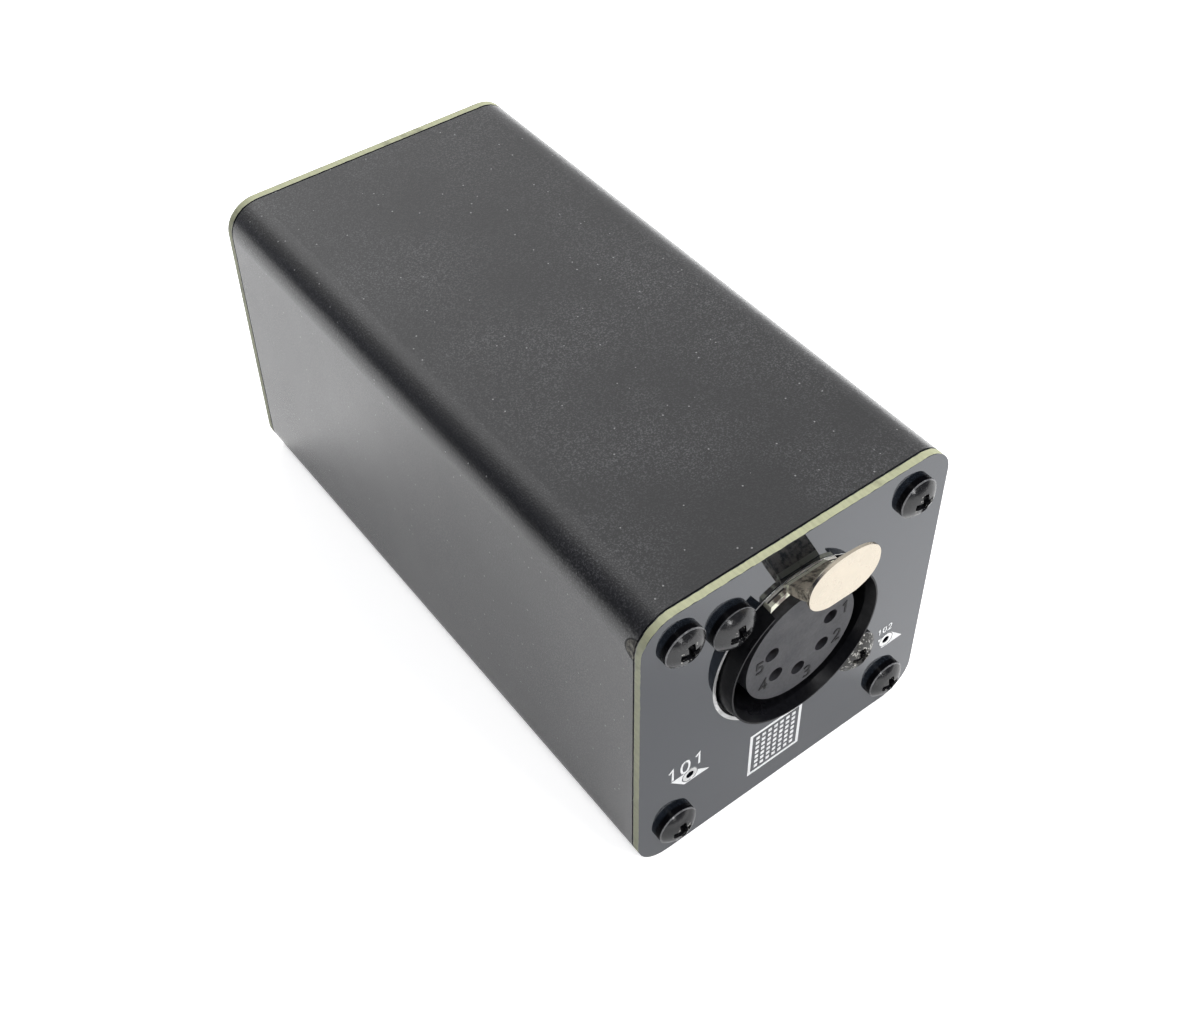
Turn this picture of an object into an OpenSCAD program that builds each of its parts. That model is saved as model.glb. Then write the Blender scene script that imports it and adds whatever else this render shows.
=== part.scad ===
// Network node for stage lighting: an extruded case closed by two circuit-board
// end plates, with a 5-pole audio-style socket in front and network and power
// sockets behind. X is to the right seen from the front, Y runs to the back and
// Z is up. The origin is the middle of the underside.

/* [Case] */
// Width of the case
body_w = 42; // [42:0.5:60]
// Height of the case
body_h = 42; // [42:0.5:60]
// Length of the extruded tube between the end plates
tube_l = 82; // [80:0.2:110]
// Outer radius of the long edges
edge_r = 4.2; // [3:0.1:4.6]
// Wall of the tube
wall_t = 1.5; // [1.2:0.1:1.8]
// Depth of the deburred step at each end of the tube
deburr = 0.2; // [0.1:0.05:0.3]
// Thickness of the end plates
plate_t = 1; // [0.8:0.1:1.6]
// Distance from the plate's edge to a case screw
screw_inset = 5; // [4.8:0.1:5.5]
// Outside diameter of a screw channel in the tube
channel_d = 4.8; // [4.4:0.1:5.2]

/* [Screws] */
// Thread diameter of the case screws
case_thread_d = 2.5; // [2:0.1:3]
// Head diameter of the case screws
case_head_d = 5.2; // [4.6:0.1:5.6]
// Head height of the case screws
case_head_h = 1.8; // [1.4:0.1:2.2]
// Length of the case screws under the head
case_screw_l = 9; // [6:0.5:12]
// Thread diameter of the socket screws
socket_thread_d = 2.6; // [2.2:0.1:3]
// Head diameter of the socket screws
socket_head_d = 5.6; // [4.8:0.1:5.8]
// Head height of the socket screws
socket_head_h = 2; // [1.6:0.1:2.6]
// Length of the socket screws under the head
socket_screw_l = 7; // [5:0.5:8]

/* [Main board] */
// Thickness of the main board
board_t = 1.6; // [1.2:0.1:2]
// Height of the board's underside above the case's underside
board_z = 9.4; // [8.6:0.1:10]
// Depth of the groove ribs that carry the board
rib_d = 1.5; // [1.2:0.1:1.8]
// Thickness of the groove ribs
rib_t = 1.2; // [0.8:0.1:1.6]

/* [Socket] */
// Height of the socket's axis above the board
axis_h = 14.3; // [14:0.1:15]
// Inner diameter that takes the plug's shell
bore_d = 19.4; // [19.2:0.1:19.8]
// Wall of the collar where it leaves the plate
collar_wall = 0.95; // [0.8:0.05:1.1]
// Wall of the collar at its front rim, before the rim is bevelled inside
rim_wall = 0.7; // [0.5:0.05:0.8]
// Width of the flat that is left on the collar's front rim
rim_flat = 0.2; // [0.15:0.05:0.4]
// How far the collar stands out of the front plate
collar_out = 1.9; // [1:0.1:3]
// Gap between the collar and the round cut-out in the front plate
cutout_gap = 0.35; // [0.3:0.05:0.8]
// Wall of the socket's barrel behind the plate
barrel_wall = 2.3; // [2:0.1:2.8]
// Length of the barrel behind the plate's outer face
barrel_l = 16; // [16:0.5:20]
// How far the flange stands out on each side of the barrel
flange_edge = 0.3; // [0.2:0.1:0.7]
// Thickness of the flange
flange_t = 2; // [1.6:0.1:2.4]
// Gap between the collar and the heads of the socket screws
head_gap = 0.13; // [0.1:0.01:0.4]
// Diameter of the contact carrier
carrier_d = 15.4; // [15:0.1:15.8]
// How far the carrier's face stands out of the front plate
carrier_out = 1; // [0.4:0.1:1.6]
// Diameter of the circle that the contacts stand on
contact_pcd = 8.7; // [8.4:0.1:9]
// Diameter of a contact hole in the carrier's face
contact_hole_d = 1.9; // [1.7:0.1:2]
// Outside diameter of a contact sleeve
sleeve_d = 2.4; // [2.2:0.1:2.6]
// Inner diameter of a contact sleeve
sleeve_bore_d = 1.6; // [1.4:0.1:1.7]

/* [Latch] */
// Width of the latch lever
lever_w = 9.8; // [9:0.2:10.4]
// Distance of the latch pivot behind the plate's outer face
pivot_y = 5.2; // [5:0.1:6]
// Height of the latch pivot above the socket's axis
pivot_h = 11.6; // [11.5:0.1:11.8]
// Diameter of the latch pin
latch_pin_d = 1.6; // [1.4:0.1:1.8]
// Width of the oval thumb plate
thumb_w = 9.6; // [8:0.2:11]
// Height of the oval thumb plate before its foot is cut flat
thumb_h = 6.8; // [6:0.2:8]
// Thickness of the thumb plate at its middle
thumb_t = 1.2; // [0.9:0.1:1.4]
// Thickness of the thumb plate at its rim
thumb_rim = 0.35; // [0.3:0.05:0.6]
// How far the thumb plate's face stands out of the front plate
thumb_out = 5.8; // [5:0.1:7]
// Width of the stem between the lever and the thumb plate
stem_w = 5.4; // [4:0.2:5.6]

/* [Signal light and push switch] */
// Distance of the light from the left side of the case
light_inset = 7; // [6.4:0.1:7.2]
// Diameter of the light's hole in the front plate
light_hole_d = 1; // [0.8:0.1:1.4]
// Height of the light's axis above the board
light_axis_h = 1.3; // [1.1:0.1:1.5]
// Distance of the switch from the right side of the case
switch_inset = 5.4; // [5.3:0.1:5.8]
// Diameter of the switch's poke hole in the front plate
switch_hole_d = 1.1; // [0.9:0.1:1.4]
// Height of the plunger's axis above the board
switch_axis_h = 1.4; // [1.3:0.05:1.5]
// Diameter of the plunger
plunger_d = 1.5; // [1.3:0.1:1.6]
// Travel of the plunger
plunger_travel = 0.25; // [0.15:0.05:0.35]

/* [Network jack] */
// Distance of the jack from the middle of the case, to the left seen from the front
jack_x = 6.5; // [6:0.1:7]
// Width of the jack
jack_w = 16; // [15.8:0.1:16.2]
// Height of the jack
jack_h = 13.4; // [13:0.1:14]
// Length of the jack
jack_l = 21.3; // [20:0.1:22]
// Width of the jack's mouth
mouth_w = 11.9; // [11.7:0.1:12]
// Height of the jack's mouth
mouth_h = 6.8; // [6.6:0.1:7]
// Depth of the jack's mouth
mouth_l = 13; // [12:0.5:14]
// Sheet thickness of the jack's shield
shield_t = 0.3; // [0.2:0.05:0.4]

/* [Power socket] */
// Distance of the power socket from the middle of the case, to the right
usb_x = 10.5; // [10:0.1:11]
// Width of the power socket's shell
usb_w = 8.94; // [8.8:0.02:9.1]
// Height of the power socket's shell
usb_h = 3.26; // [3.2:0.02:3.4]
// Length of the power socket
usb_l = 7.3; // [6.8:0.1:8]

/* [Hidden] */
$fn = 48;

// General fits
eps = 0.01;                 // overlap that joins two solids of one piece
play = 0.1;                 // gap between parts that slide in once and stay
running = 0.05;             // radial clearance of a pin in its bore
screw_fit = 0.03;           // radial room between a screw and its channel
screw_tip = 1;              // length of a screw's pointed end
moving_gap = 0.3;           // gap between a moving piece and what it passes

// Places along Y and Z
front_y = -tube_l / 2 - plate_t;
rear_y = tube_l / 2 + plate_t;
board_top = board_z + board_t;
axis_z = board_top + axis_h;
board_l = tube_l - 2 * play;
board_w = body_w - 2 * wall_t - 4 * play;
screw_x = body_w / 2 - screw_inset;
light_x = body_w / 2 - light_inset;
switch_x = body_w / 2 - switch_inset;

// Small round nick in the front end of the tube, a little way up its upper left corner:
// radius of the ball that cuts it, how far the ball's middle lies outside, and the angle
nick_r = 1.6;
nick_out = 0.85;
nick_turn = 9;

// Socket diameters, all from its bore
collar_d = bore_d + 2 * collar_wall;
rim_d = bore_d + 2 * rim_wall;
cutout_d = collar_d + 2 * cutout_gap;
barrel_d = bore_d + 2 * barrel_wall;
flange_w = barrel_d + 2 * flange_edge;
socket_pitch = (collar_d / 2 + head_gap + socket_head_d / 2) * sqrt(2);

// Socket details behind the plate, measured from the plate's outer face
flange_back = plate_t + flange_t;
boss_d = 5.2;
boss_l = socket_screw_l - flange_back + 2.2;
slot_w = lever_w + 2 * moving_gap;
slot_z = sqrt(pow(bore_d / 2, 2) - pow(slot_w / 2, 2)) - 0.2;
ear_t = 1.8;
bridge_z = pivot_h + 1.8;
bridge_t = 1;
carrier_back = barrel_l - 3;
lever_in = bore_d / 2 + 0.25;
lever_out = cutout_d / 2 - 0.25;
lever_back = pivot_y + 8;
hook_y = pivot_y + 6.2;
hook_deep = 0.6;
seat_z = lever_out + 0.2;
press_deg = 8;
slot_back = lever_back + moving_gap + (pivot_h - slot_z) * sin(press_deg);
contact_angles = [16.5, -40, -90, -140, 163.5];
tail_d = 0.9;
tail_y = [barrel_l + 3.2, barrel_l + 1.2, barrel_l + 3.2, barrel_l + 1.2, barrel_l + 3.2];
foot_x = 8;
foot_w = 3;
post_d = 1.4;

// Sizes of the parts on the main board
part_gap = 1.8;
foot_l = 0.9;
controller_w = 7;
controller_h = 1.4;
network_w = 5;
network_h = 1;
transformer_w = 7.1;
transformer_l = 12.7;
transformer_h = 5.6;
driver_w = 7.5;
driver_l = 10.3;
driver_h = 2.3;
supply_w = 11.6;
supply_l = 6;
supply_h = 10;
regulator_w = 3.5;
regulator_l = 6.5;
regulator_h = 1.6;
coil_w = 6;
coil_h = 3;
can_d = 6.3;
can_h = 6.8;
can_base = can_d + 0.3;
crystal_w = 3.8;
crystal_l = 9.8;
crystal_h = 3.5;
header_w = 2.5;
resistor_l = 1.6;
resistor_w = 0.8;
resistor_h = 0.5;

// Pin pitch of the parts that stand on wire pins
pin_pitch = 2.54;

// Rear sockets
jack_face_y = rear_y + 0.4;
jack_wall = jack_w / 2 - shield_t;
mouth_z = 1.9;
key_w = 6;
key_h = 1.5;
lamp_w = 2.4;
lamp_h = 1.7;
usb_face_y = rear_y - 0.1;
usb_wall = 0.3;

// Places of the parts on the main board, from its middle
edge_x = board_w / 2;
cans_x = edge_x - can_base / 2 - 2.4;
header_x = edge_x - header_w / 2 - part_gap;
transformer_y = jack_face_y - jack_l - part_gap - transformer_l / 2;
network_y = transformer_y - transformer_l / 2 - part_gap - foot_l - network_w / 2;
cans_y = usb_face_y - usb_l - part_gap - can_base / 2;
coil_x = (cans_x - can_base / 2 + jack_w / 2 - jack_x) / 2;
coil_y = cans_y;
regulator_y = coil_y - coil_w / 2 - part_gap - regulator_l / 2;
controller_x = header_x - header_w / 2 - part_gap - foot_l - controller_w / 2;
supply_y = -tube_l / 2 + barrel_l + 6.6;
supply_x = -supply_w / 2 - 3.2;
driver_x = driver_w - 2;
driver_y = supply_y + 2.5;
header_y = supply_y + 7.4;
supply_row_y = supply_y + supply_l / 2 + part_gap;
crystal_x = -edge_x + crystal_w / 2 + part_gap;
row_step = 4;

// Helpers
function polar(r, a) = [r * cos(a), r * sin(a)];

// Cylinder from the XZ plane towards the back
module rod(d, l) {
    rotate([-90, 0, 0]) cylinder(d = d, h = l);
}

// Outline drawn in X and Z, carried towards the back
module slab(l) {
    translate([0, l, 0]) rotate([90, 0, 0]) linear_extrude(l) children();
}

// Outline drawn in Y and Z, carried along X about the middle
module bar_x(w) {
    rotate([90, 0, 90]) translate([0, 0, -w / 2]) linear_extrude(w) children();
}

// Rectangle with round corners, centred on X and standing on zero
module round_rect(w, h, r) {
    translate([-w / 2 + r, 0]) square([w - 2 * r, h]);
    translate([-w / 2, r]) square([w, h - 2 * r]);
    for (x = [-1, 1], z = [r, h - r]) translate([x * (w / 2 - r), z]) circle(r);
}

// Box centred on X and Y that stands on zero
module block(w, l, h) {
    translate([-w / 2, -l / 2, 0]) cube([w, l, h]);
}

module at_case_screws() {
    for (x = [-1, 1], z = [screw_inset, body_h - screw_inset])
        translate([x * screw_x, 0, z]) children();
}

module at_socket() {
    translate([0, front_y, axis_z]) children();
}

module at_socket_screws() {
    for (s = [-1, 1]) translate([s * socket_pitch / 2, 0, -s * socket_pitch / 2]) children();
}

// Pan-head screw with a cross recess; its head lies before the XZ plane
module pan_screw(thread_d, head_d, head_h, length) {
    rise = head_h * 0.6;
    dome_r = (head_d * head_d / 4 + rise * rise) / (2 * rise);
    slot = head_d * 0.17;
    depth = head_h * 0.62;
    difference() {
        intersection() {
            translate([0, -head_h, 0]) rod(head_d, head_h);
            translate([0, dome_r - head_h, 0]) sphere(dome_r, $fn = 96);
        }
        intersection() {
            translate([0, -head_h - eps, 0]) rotate([-90, 0, 0])
                cylinder(d1 = head_d * 0.58, d2 = head_d * 0.2, h = depth);
            union() {
                translate([-head_d / 2, -head_h - 1, -slot / 2]) cube([head_d, head_h + 1, slot]);
                translate([-slot / 2, -head_h - 1, -head_d / 2]) cube([slot, head_h + 1, head_d]);
            }
        }
    }
    translate([0, -eps, 0]) rod(thread_d, length - screw_tip + eps);
    translate([0, length - screw_tip - eps, 0]) rotate([-90, 0, 0])
        cylinder(d1 = thread_d, d2 = thread_d * 0.5, h = screw_tip);
}

// Case: a tube with four screw channels and a groove on each side for the board
module tube() {
    color("#1b1b1d") difference() {
        intersection() {
            translate([0, -tube_l / 2, 0]) union() {
                translate([0, deburr, 0]) slab(tube_l - 2 * deburr) round_rect(body_w, body_h, edge_r);
                translate([0, 0, deburr]) slab(tube_l)
                    round_rect(body_w - 2 * deburr, body_h - 2 * deburr, edge_r - deburr);
            }
            union() {
                difference() {
                    translate([0, -tube_l / 2, 0]) slab(tube_l) round_rect(body_w, body_h, edge_r);
                    translate([0, -tube_l / 2 - 1, wall_t]) slab(tube_l + 2)
                        round_rect(body_w - 2 * wall_t, body_h - 2 * wall_t, edge_r - wall_t);
                }
                screw_channels();
                board_grooves();
            }
        }
        at_case_screws() translate([0, -tube_l / 2 - 1, 0])
            rod(case_thread_d + 2 * screw_fit, tube_l + 2);
        translate([edge_r - body_w / 2, -tube_l / 2, body_h - edge_r])
            rotate([0, nick_turn, 0]) translate([-edge_r - nick_out, 0, 0]) sphere(nick_r);
    }
}

// Round channels, each joined to its corner by a web
module screw_channels() {
    web = screw_inset - wall_t / 2;
    at_case_screws() translate([0, -tube_l / 2, 0]) rod(channel_d, tube_l);
    for (x = [0, 1], z = [0, 1])
        mirror([x, 0, 0]) translate([0, 0, z * body_h]) mirror([0, 0, z])
            translate([screw_x, -tube_l / 2, wall_t / 2]) cube([web, tube_l, web - eps]);
}

// Two ribs on each side wall hold the board between them
module board_grooves() {
    for (x = [0, 1], z = [board_z - play - rib_t, board_top + play])
        mirror([x, 0, 0])
            translate([body_w / 2 - wall_t - rib_d, -tube_l / 2, z])
                cube([rib_d + wall_t / 2, tube_l, rib_t]);
}

// Plate blank with the four clearance holes of the case screws
module plate_blank() {
    difference() {
        slab(plate_t) round_rect(body_w, body_h, edge_r);
        at_case_screws() translate([0, -1, 0]) rod(case_thread_d + 2 * play, plate_t + 2);
    }
}

module front_plate() {
    color("#222326") translate([0, front_y, 0]) difference() {
        plate_blank();
        translate([0, -1, axis_z]) rod(cutout_d, plate_t + 2);
        translate([0, -1, axis_z]) at_socket_screws() rod(socket_thread_d + 2 * play, plate_t + 2);
        translate([-light_x, -1, board_top + light_axis_h]) rod(light_hole_d, plate_t + 2, $fn = 24);
        translate([switch_x, -1, board_top + switch_axis_h]) rod(switch_hole_d, plate_t + 2, $fn = 24);
    }
}

module rear_plate() {
    color("#222326") translate([0, rear_y - plate_t, 0]) difference() {
        plate_blank();
        translate([-jack_x - jack_w / 2 - play, -1, board_top - play])
            cube([jack_w + 2 * play, plate_t + 2, jack_h + 2 * play]);
        translate([usb_x, -1, board_top - play]) slab(plate_t + 2)
            round_rect(usb_w + 2 * play, usb_h + 2 * play, usb_h / 2 + play - eps);
    }
}

module front_screws() {
    color("#151517") translate([0, front_y, 0]) at_case_screws()
        pan_screw(case_thread_d, case_head_d, case_head_h, case_screw_l);
}

module rear_screws() {
    color("#151517") translate([0, rear_y, 0]) mirror([0, 1, 0]) at_case_screws()
        pan_screw(case_thread_d, case_head_d, case_head_h, case_screw_l);
}

module socket_screws() {
    color("#151517") at_socket() at_socket_screws()
        pan_screw(socket_thread_d, socket_head_d, socket_head_h, socket_screw_l);
}

// Main board with holes for the socket's posts and contact tails
module main_board() {
    color("#1f5a3a") difference() {
        translate([-board_w / 2, -board_l / 2, board_z]) cube([board_w, board_l, board_t]);
        translate([0, front_y, board_z - 1]) {
            at_posts() cylinder(d = post_d + 2 * play, h = board_t + 2, $fn = 24);
            for (i = [0:4]) translate([contact_x(i), tail_y[i], 0])
                cylinder(d = tail_d + 2 * play, h = board_t + 2, $fn = 24);
        }
    }
}

function contact_x(i) = polar(contact_pcd / 2, contact_angles[i])[0];
function contact_z(i) = polar(contact_pcd / 2, contact_angles[i])[1];

module at_posts() {
    for (x = [-1, 1], y = [flange_back + 1, barrel_l - 2]) translate([x * foot_x, y, 0]) children();
}

// Socket moulding: collar, flange, barrel, screw bosses, feet and the latch's cheeks
module socket_housing() {
    flange_low = switch_h + cover_t + 2 * play - axis_h;
    flange_top = bridge_z + bridge_t;
    color("#141416") at_socket() difference() {
        union() {
            translate([0, -collar_out, 0]) rotate([-90, 0, 0])
                cylinder(d1 = rim_d, d2 = collar_d, h = collar_out + eps, $fn = 96);
            rod(collar_d, plate_t + eps, $fn = 96);
            translate([0, plate_t, flange_low]) slab(flange_t)
                round_rect(flange_w, flange_top - flange_low, 2);
            translate([0, plate_t, 0]) rod(barrel_d, barrel_l - plate_t, $fn = 96);
            at_socket_screws() translate([0, flange_back - eps, 0]) rod(boss_d, boss_l);
            latch_cheeks(flange_top);
            at_posts() translate([0, 0, -axis_h]) block(foot_w, 4, axis_h - bore_d / 2 + 2);
            at_posts() translate([0, 0, -axis_h - board_t - 0.4]) cylinder(d = post_d, h = 3, $fn = 24);
        }
        translate([0, -collar_out - 1, 0]) rod(bore_d, barrel_l + collar_out + 2, $fn = 96);
        translate([0, -collar_out - eps, 0]) rotate([-90, 0, 0])
            cylinder(d1 = rim_d - 2 * rim_flat, d2 = bore_d - eps, h = 1.2, $fn = 96);
        translate([-slot_w / 2, -collar_out - 1, slot_z])
            cube([slot_w, slot_back + collar_out + 1, bridge_z - slot_z]);
        at_socket_screws() rod(socket_thread_d + 2 * screw_fit, flange_back + boss_l + 1);
        translate([0, pivot_y, pivot_h]) rotate([0, 90, 0])
            cylinder(d = latch_pin_d + 0.02, h = slot_w + 3 * ear_t, center = true, $fn = 32);
    }
}

// Two cheeks that hold the latch pin, and the bridge that the spring pushes on
module latch_cheeks(top) {
    low = bore_d / 2 - 1.2;
    back = slot_back + 1;
    for (x = [0, 1]) mirror([x, 0, 0])
        translate([slot_w / 2 - eps, flange_back - eps, low]) cube([ear_t, back - flange_back, top - low]);
    translate([-slot_w / 2 - eps, hook_y - 2.4, bridge_z])
        cube([slot_w + 2 * eps, back - hook_y + 2.4, bridge_t]);
}

// Contact carrier: a round insert on a wider base, with five stepped holes
module contact_carrier() {
    color("#3a3b3e") at_socket() difference() {
        union() {
            translate([0, -carrier_out, 0]) rod(carrier_d, carrier_out + carrier_back + eps, $fn = 96);
            translate([0, carrier_back, 0]) rod(bore_d - 2 * screw_fit, barrel_l - carrier_back, $fn = 96);
        }
        for (i = [0:4]) translate([contact_x(i), 0, contact_z(i)]) {
            translate([0, -carrier_out - 1, 0]) rod(contact_hole_d, carrier_out + 3, $fn = 24);
            translate([0, 1, 0]) rod(sleeve_d + 2 * screw_fit, barrel_l, $fn = 32);
        }
    }
}

// Contact sleeves with round tails that run back and then down through the board
module socket_contacts() {
    color("#c9a24a") at_socket() for (i = [0:4]) translate([contact_x(i), 0, contact_z(i)]) {
        difference() {
            translate([0, 1, 0]) rod(sleeve_d, barrel_l - 1, $fn = 32);
            rod(sleeve_bore_d, barrel_l - 2, $fn = 32);
        }
        translate([0, barrel_l - eps, 0]) rod(tail_d, tail_y[i] - barrel_l + eps, $fn = 24);
        translate([0, tail_y[i], 0]) sphere(d = tail_d, $fn = 24);
        translate([0, tail_y[i], -axis_h - board_t - 1 - contact_z(i)])
            cylinder(d = tail_d, h = axis_h + board_t + 1 + contact_z(i), $fn = 24);
    }
}

// Latch: a curved lever on a pivot boss, a hook behind, a stem and an oval thumb plate
module socket_latch() {
    boss_r = latch_pin_d / 2 + 0.9;
    thumb_z = lever_out + 1.2 + thumb_h / 2;
    back = -thumb_out + thumb_t;
    color("#cfc9bd") at_socket() difference() {
        union() {
            intersection() {
                translate([0, -0.9, 0]) difference() {
                    rod(2 * lever_out, lever_back + 0.9, $fn = 96);
                    translate([0, -1, 0]) rod(2 * lever_in, lever_back + 3, $fn = 96);
                }
                translate([-lever_w / 2, -2, 0]) cube([lever_w, lever_back + 3, 20]);
            }
            translate([0, pivot_y, pivot_h]) rotate([0, 90, 0])
                cylinder(r = boss_r, h = lever_w, center = true);
            bar_x(4) polygon([
                [hook_y - 2.4, lever_in + 0.3], [hook_y - 0.8, bore_d / 2 - hook_deep],
                [hook_y + 0.6, bore_d / 2 - hook_deep], [hook_y + 0.6, lever_in + 0.3]
            ]);
            translate([0, hook_y, lever_out - 0.6]) cylinder(d = 3.4, h = seat_z - lever_out + 0.6);
            translate([0, hook_y, seat_z - eps]) cylinder(d = 1.2, h = 0.5, $fn = 24);
            bar_x(stem_w) polygon([
                [-0.15, lever_in + 0.3], [-0.3, lever_out + 0.3], [-0.9, lever_out + 0.7],
                [-2.8, lever_out + 1.6], [back, lever_out + 2.8], [back - thumb_t / 2, lever_out + 3],
                [back - thumb_t / 2, lever_out + 1.6], [back + 0.4, lever_out + 1],
                [-2.6, lever_out + 0.1], [-0.9, lever_in + 0.2]
            ]);
            translate([0, -thumb_out, thumb_z]) thumb_plate();
        }
        translate([0, pivot_y, pivot_h]) rotate([0, 90, 0])
            cylinder(d = latch_pin_d + 2 * running, h = lever_w + 1, center = true, $fn = 32);
    }
}

// Oval thumb plate with a flat foot; its back tapers from a thin rim to the middle
module thumb_plate() {
    taper = thumb_t - thumb_rim;
    slab(thumb_rim) thumb_outline();
    translate([0, thumb_rim - eps, 0]) rotate([-90, 0, 0])
        linear_extrude(taper, scale = 0.6) mirror([0, 1]) thumb_outline();
}

// Full oval from its formula, cut flat just above its lowest point
module thumb_outline() {
    n = 72;
    fullness = 0.87;
    foot = 0.15;
    polygon([
        for (i = [0:n - 1])
            [thumb_w / 2 * full(cos(i * 360 / n), fullness),
             max(thumb_h / 2 * full(sin(i * 360 / n), fullness), foot - thumb_h / 2)]
    ]);
}

function full(v, power) = sign(v) * pow(abs(v), power);

module latch_pin() {
    color("#b8b8b8") at_socket() translate([0, pivot_y, pivot_h]) rotate([0, 90, 0])
        cylinder(d = latch_pin_d, h = slot_w + 2 * ear_t, center = true, $fn = 32);
}

// Compression spring between the lever's seat and the bridge: one tube swept on a helix
spring_d = 2.4;
wire_d = 0.3;
coils = 2.5;
spring_low = seat_z + wire_d / 2;
spring_high = bridge_z - wire_d / 2;
spring_pitch = (spring_high - spring_low) / coils;
ring_n = 8;
ring_sides = 6;
echo("least gap between the spring's coils", spring_pitch - wire_d);

function helix(t) = [
    spring_d / 2 * cos(t * 360), spring_d / 2 * sin(t * 360), spring_low + spring_pitch * t
];
function helix_ring(t) = [
    for (k = [0:ring_sides - 1])
        let (a = k * 360 / ring_sides, p = helix(t), r = wire_d / 2)
            [p[0] + r * cos(a) * cos(t * 360), p[1] + r * cos(a) * sin(t * 360), p[2] + r * sin(a)]
];

module latch_spring() {
    rings = coils * ring_n;
    points = [for (i = [0:rings]) each helix_ring(i / ring_n)];
    sides = [
        for (i = [0:rings - 1], k = [0:ring_sides - 1])
            let (a = i * ring_sides + k, b = i * ring_sides + (k + 1) % ring_sides)
                each [[a, a + ring_sides, b], [b, a + ring_sides, b + ring_sides]]
    ];
    caps = [
        for (k = [1:ring_sides - 2])
            each [[0, k, k + 1],
                  [rings * ring_sides, rings * ring_sides + k + 1, rings * ring_sides + k]]
    ];
    color("#a8a8a8") at_socket() translate([0, hook_y, 0]) polyhedron(points, concat(sides, caps));
}

// Side-looking light that faces its hole in the front plate
module signal_light() {
    lens_r = 0.7;
    lens_y = plate_t + 0.4 + lens_r / 2;
    lens_l = 0.6;
    case_w = 3;
    case_l = 2;
    color("#e8e8df") translate([-light_x, front_y, board_top]) {
        translate([-case_w / 2, lens_y + lens_l - eps, 0]) cube([case_w, case_l, 2 * light_axis_h]);
        translate([0, lens_y, light_axis_h]) rod(2 * lens_r, lens_l, $fn = 32);
        translate([0, lens_y, light_axis_h]) intersection() {
            sphere(lens_r, $fn = 32);
            translate([-1, -lens_r / 2, -1]) cube([2, lens_r / 2 + eps, 2]);
        }
    }
}

// Push switch: its moulding, its bent cover and its plunger
switch_face_y = plate_t + 1.2;
switch_w = 4.2;
switch_l = 3.2;
switch_h = 2.9;
switch_floor = 1.6;
cover_t = 0.15;

module at_switch() {
    translate([switch_x, front_y + switch_face_y, board_top]) children();
}

module switch_body() {
    color("#202022") at_switch() difference() {
        translate([-switch_w / 2, 0, 0]) cube([switch_w, switch_l, switch_h]);
        translate([0, -1, switch_axis_h])
            rod(plunger_d + 2 * running, 1 + switch_floor + plunger_travel, $fn = 32);
    }
}

module switch_cover() {
    color("#c4c4c2") at_switch() difference() {
        translate([-switch_w / 2 - cover_t, -cover_t, 0])
            cube([switch_w + 2 * cover_t, switch_l + cover_t, switch_h + cover_t]);
        translate([-switch_w / 2, 0, -1]) cube([switch_w, switch_l + 1, switch_h + 1]);
        translate([0, -1, switch_axis_h]) rod(plunger_d + 0.5, 3, $fn = 32);
    }
}

module switch_plunger() {
    nose = switch_face_y - plate_t - moving_gap;
    color("#2a2a2c") at_switch() translate([0, -nose, switch_axis_h])
        rod(plunger_d, nose + switch_floor - running, $fn = 32);
}

// Network jack, drawn with its mouth towards the back
module at_jack() {
    translate([-jack_x, jack_face_y, board_top]) children();
}

module jack_mouth_shape() {
    translate([-mouth_w / 2, mouth_z + key_h]) square([mouth_w, mouth_h]);
    translate([-key_w / 2, mouth_z]) square([key_w, key_h + eps]);
}

module jack_lamp_shape(extra) {
    for (x = [-1, 1])
        translate([x * (jack_wall - 0.5 - lamp_w / 2) - lamp_w / 2 - extra, jack_h - 2.4 - extra])
            square([lamp_w + 2 * extra, lamp_h + 2 * extra]);
}

module jack_shield() {
    color("#c9c9c7") at_jack() translate([0, -jack_l, 0]) difference() {
        translate([-jack_w / 2, 0, 0]) cube([jack_w, jack_l, jack_h]);
        translate([-jack_wall, shield_t, -1])
            cube([2 * jack_wall, jack_l - 2 * shield_t, jack_h + 1 - shield_t]);
        translate([0, jack_l - 2, 0]) slab(4) union() {
            jack_mouth_shape();
            jack_lamp_shape(0.02);
        }
    }
}

module jack_body() {
    groove_w = 0.6;
    inner_w = 2 * jack_wall - 2 * running;
    inner_l = jack_l - 2 * shield_t - 2 * running;
    color("#161618") at_jack() translate([0, -jack_l + shield_t + running, 0]) difference() {
        translate([-inner_w / 2, 0, 0]) cube([inner_w, inner_l, jack_h - shield_t - running]);
        translate([0, inner_l - mouth_l, 0]) slab(mouth_l + 1) jack_mouth_shape();
        translate([0, inner_l - 4, 0]) slab(5) jack_lamp_shape(0.02);
        for (i = [0:7])
            translate([jack_pin_x(i) - groove_w / 2, inner_l - mouth_l - 1, mouth_z + key_h + mouth_h - groove_w])
                cube([groove_w, mouth_l - 1, 2 * groove_w]);
    }
}

function jack_pin_x(i) = (i - 3.5) * 1.02;

// Eight sprung wires: each runs in its groove above the mouth and bends down into it
module jack_contacts() {
    top = mouth_z + key_h + mouth_h;
    inner = -shield_t - running;
    color("#d4af37") at_jack() for (i = [0:7]) translate([jack_pin_x(i), 0, 0]) bar_x(0.4) polygon([
        [inner - mouth_l - 0.8, top + 0.5], [inner - 3, top + 0.5], [inner - 2.7, top + 0.1],
        [inner - 9.4, top - 2.3], [inner - 9.6, top - 2], [inner - 3.9, top + 0.1],
        [inner - mouth_l - 0.8, top + 0.1]
    ]);
}

module jack_lights() {
    color("#dfe8c8") at_jack() translate([0, -4 + shield_t, 0]) slab(4 - shield_t) jack_lamp_shape(0);
}

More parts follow.
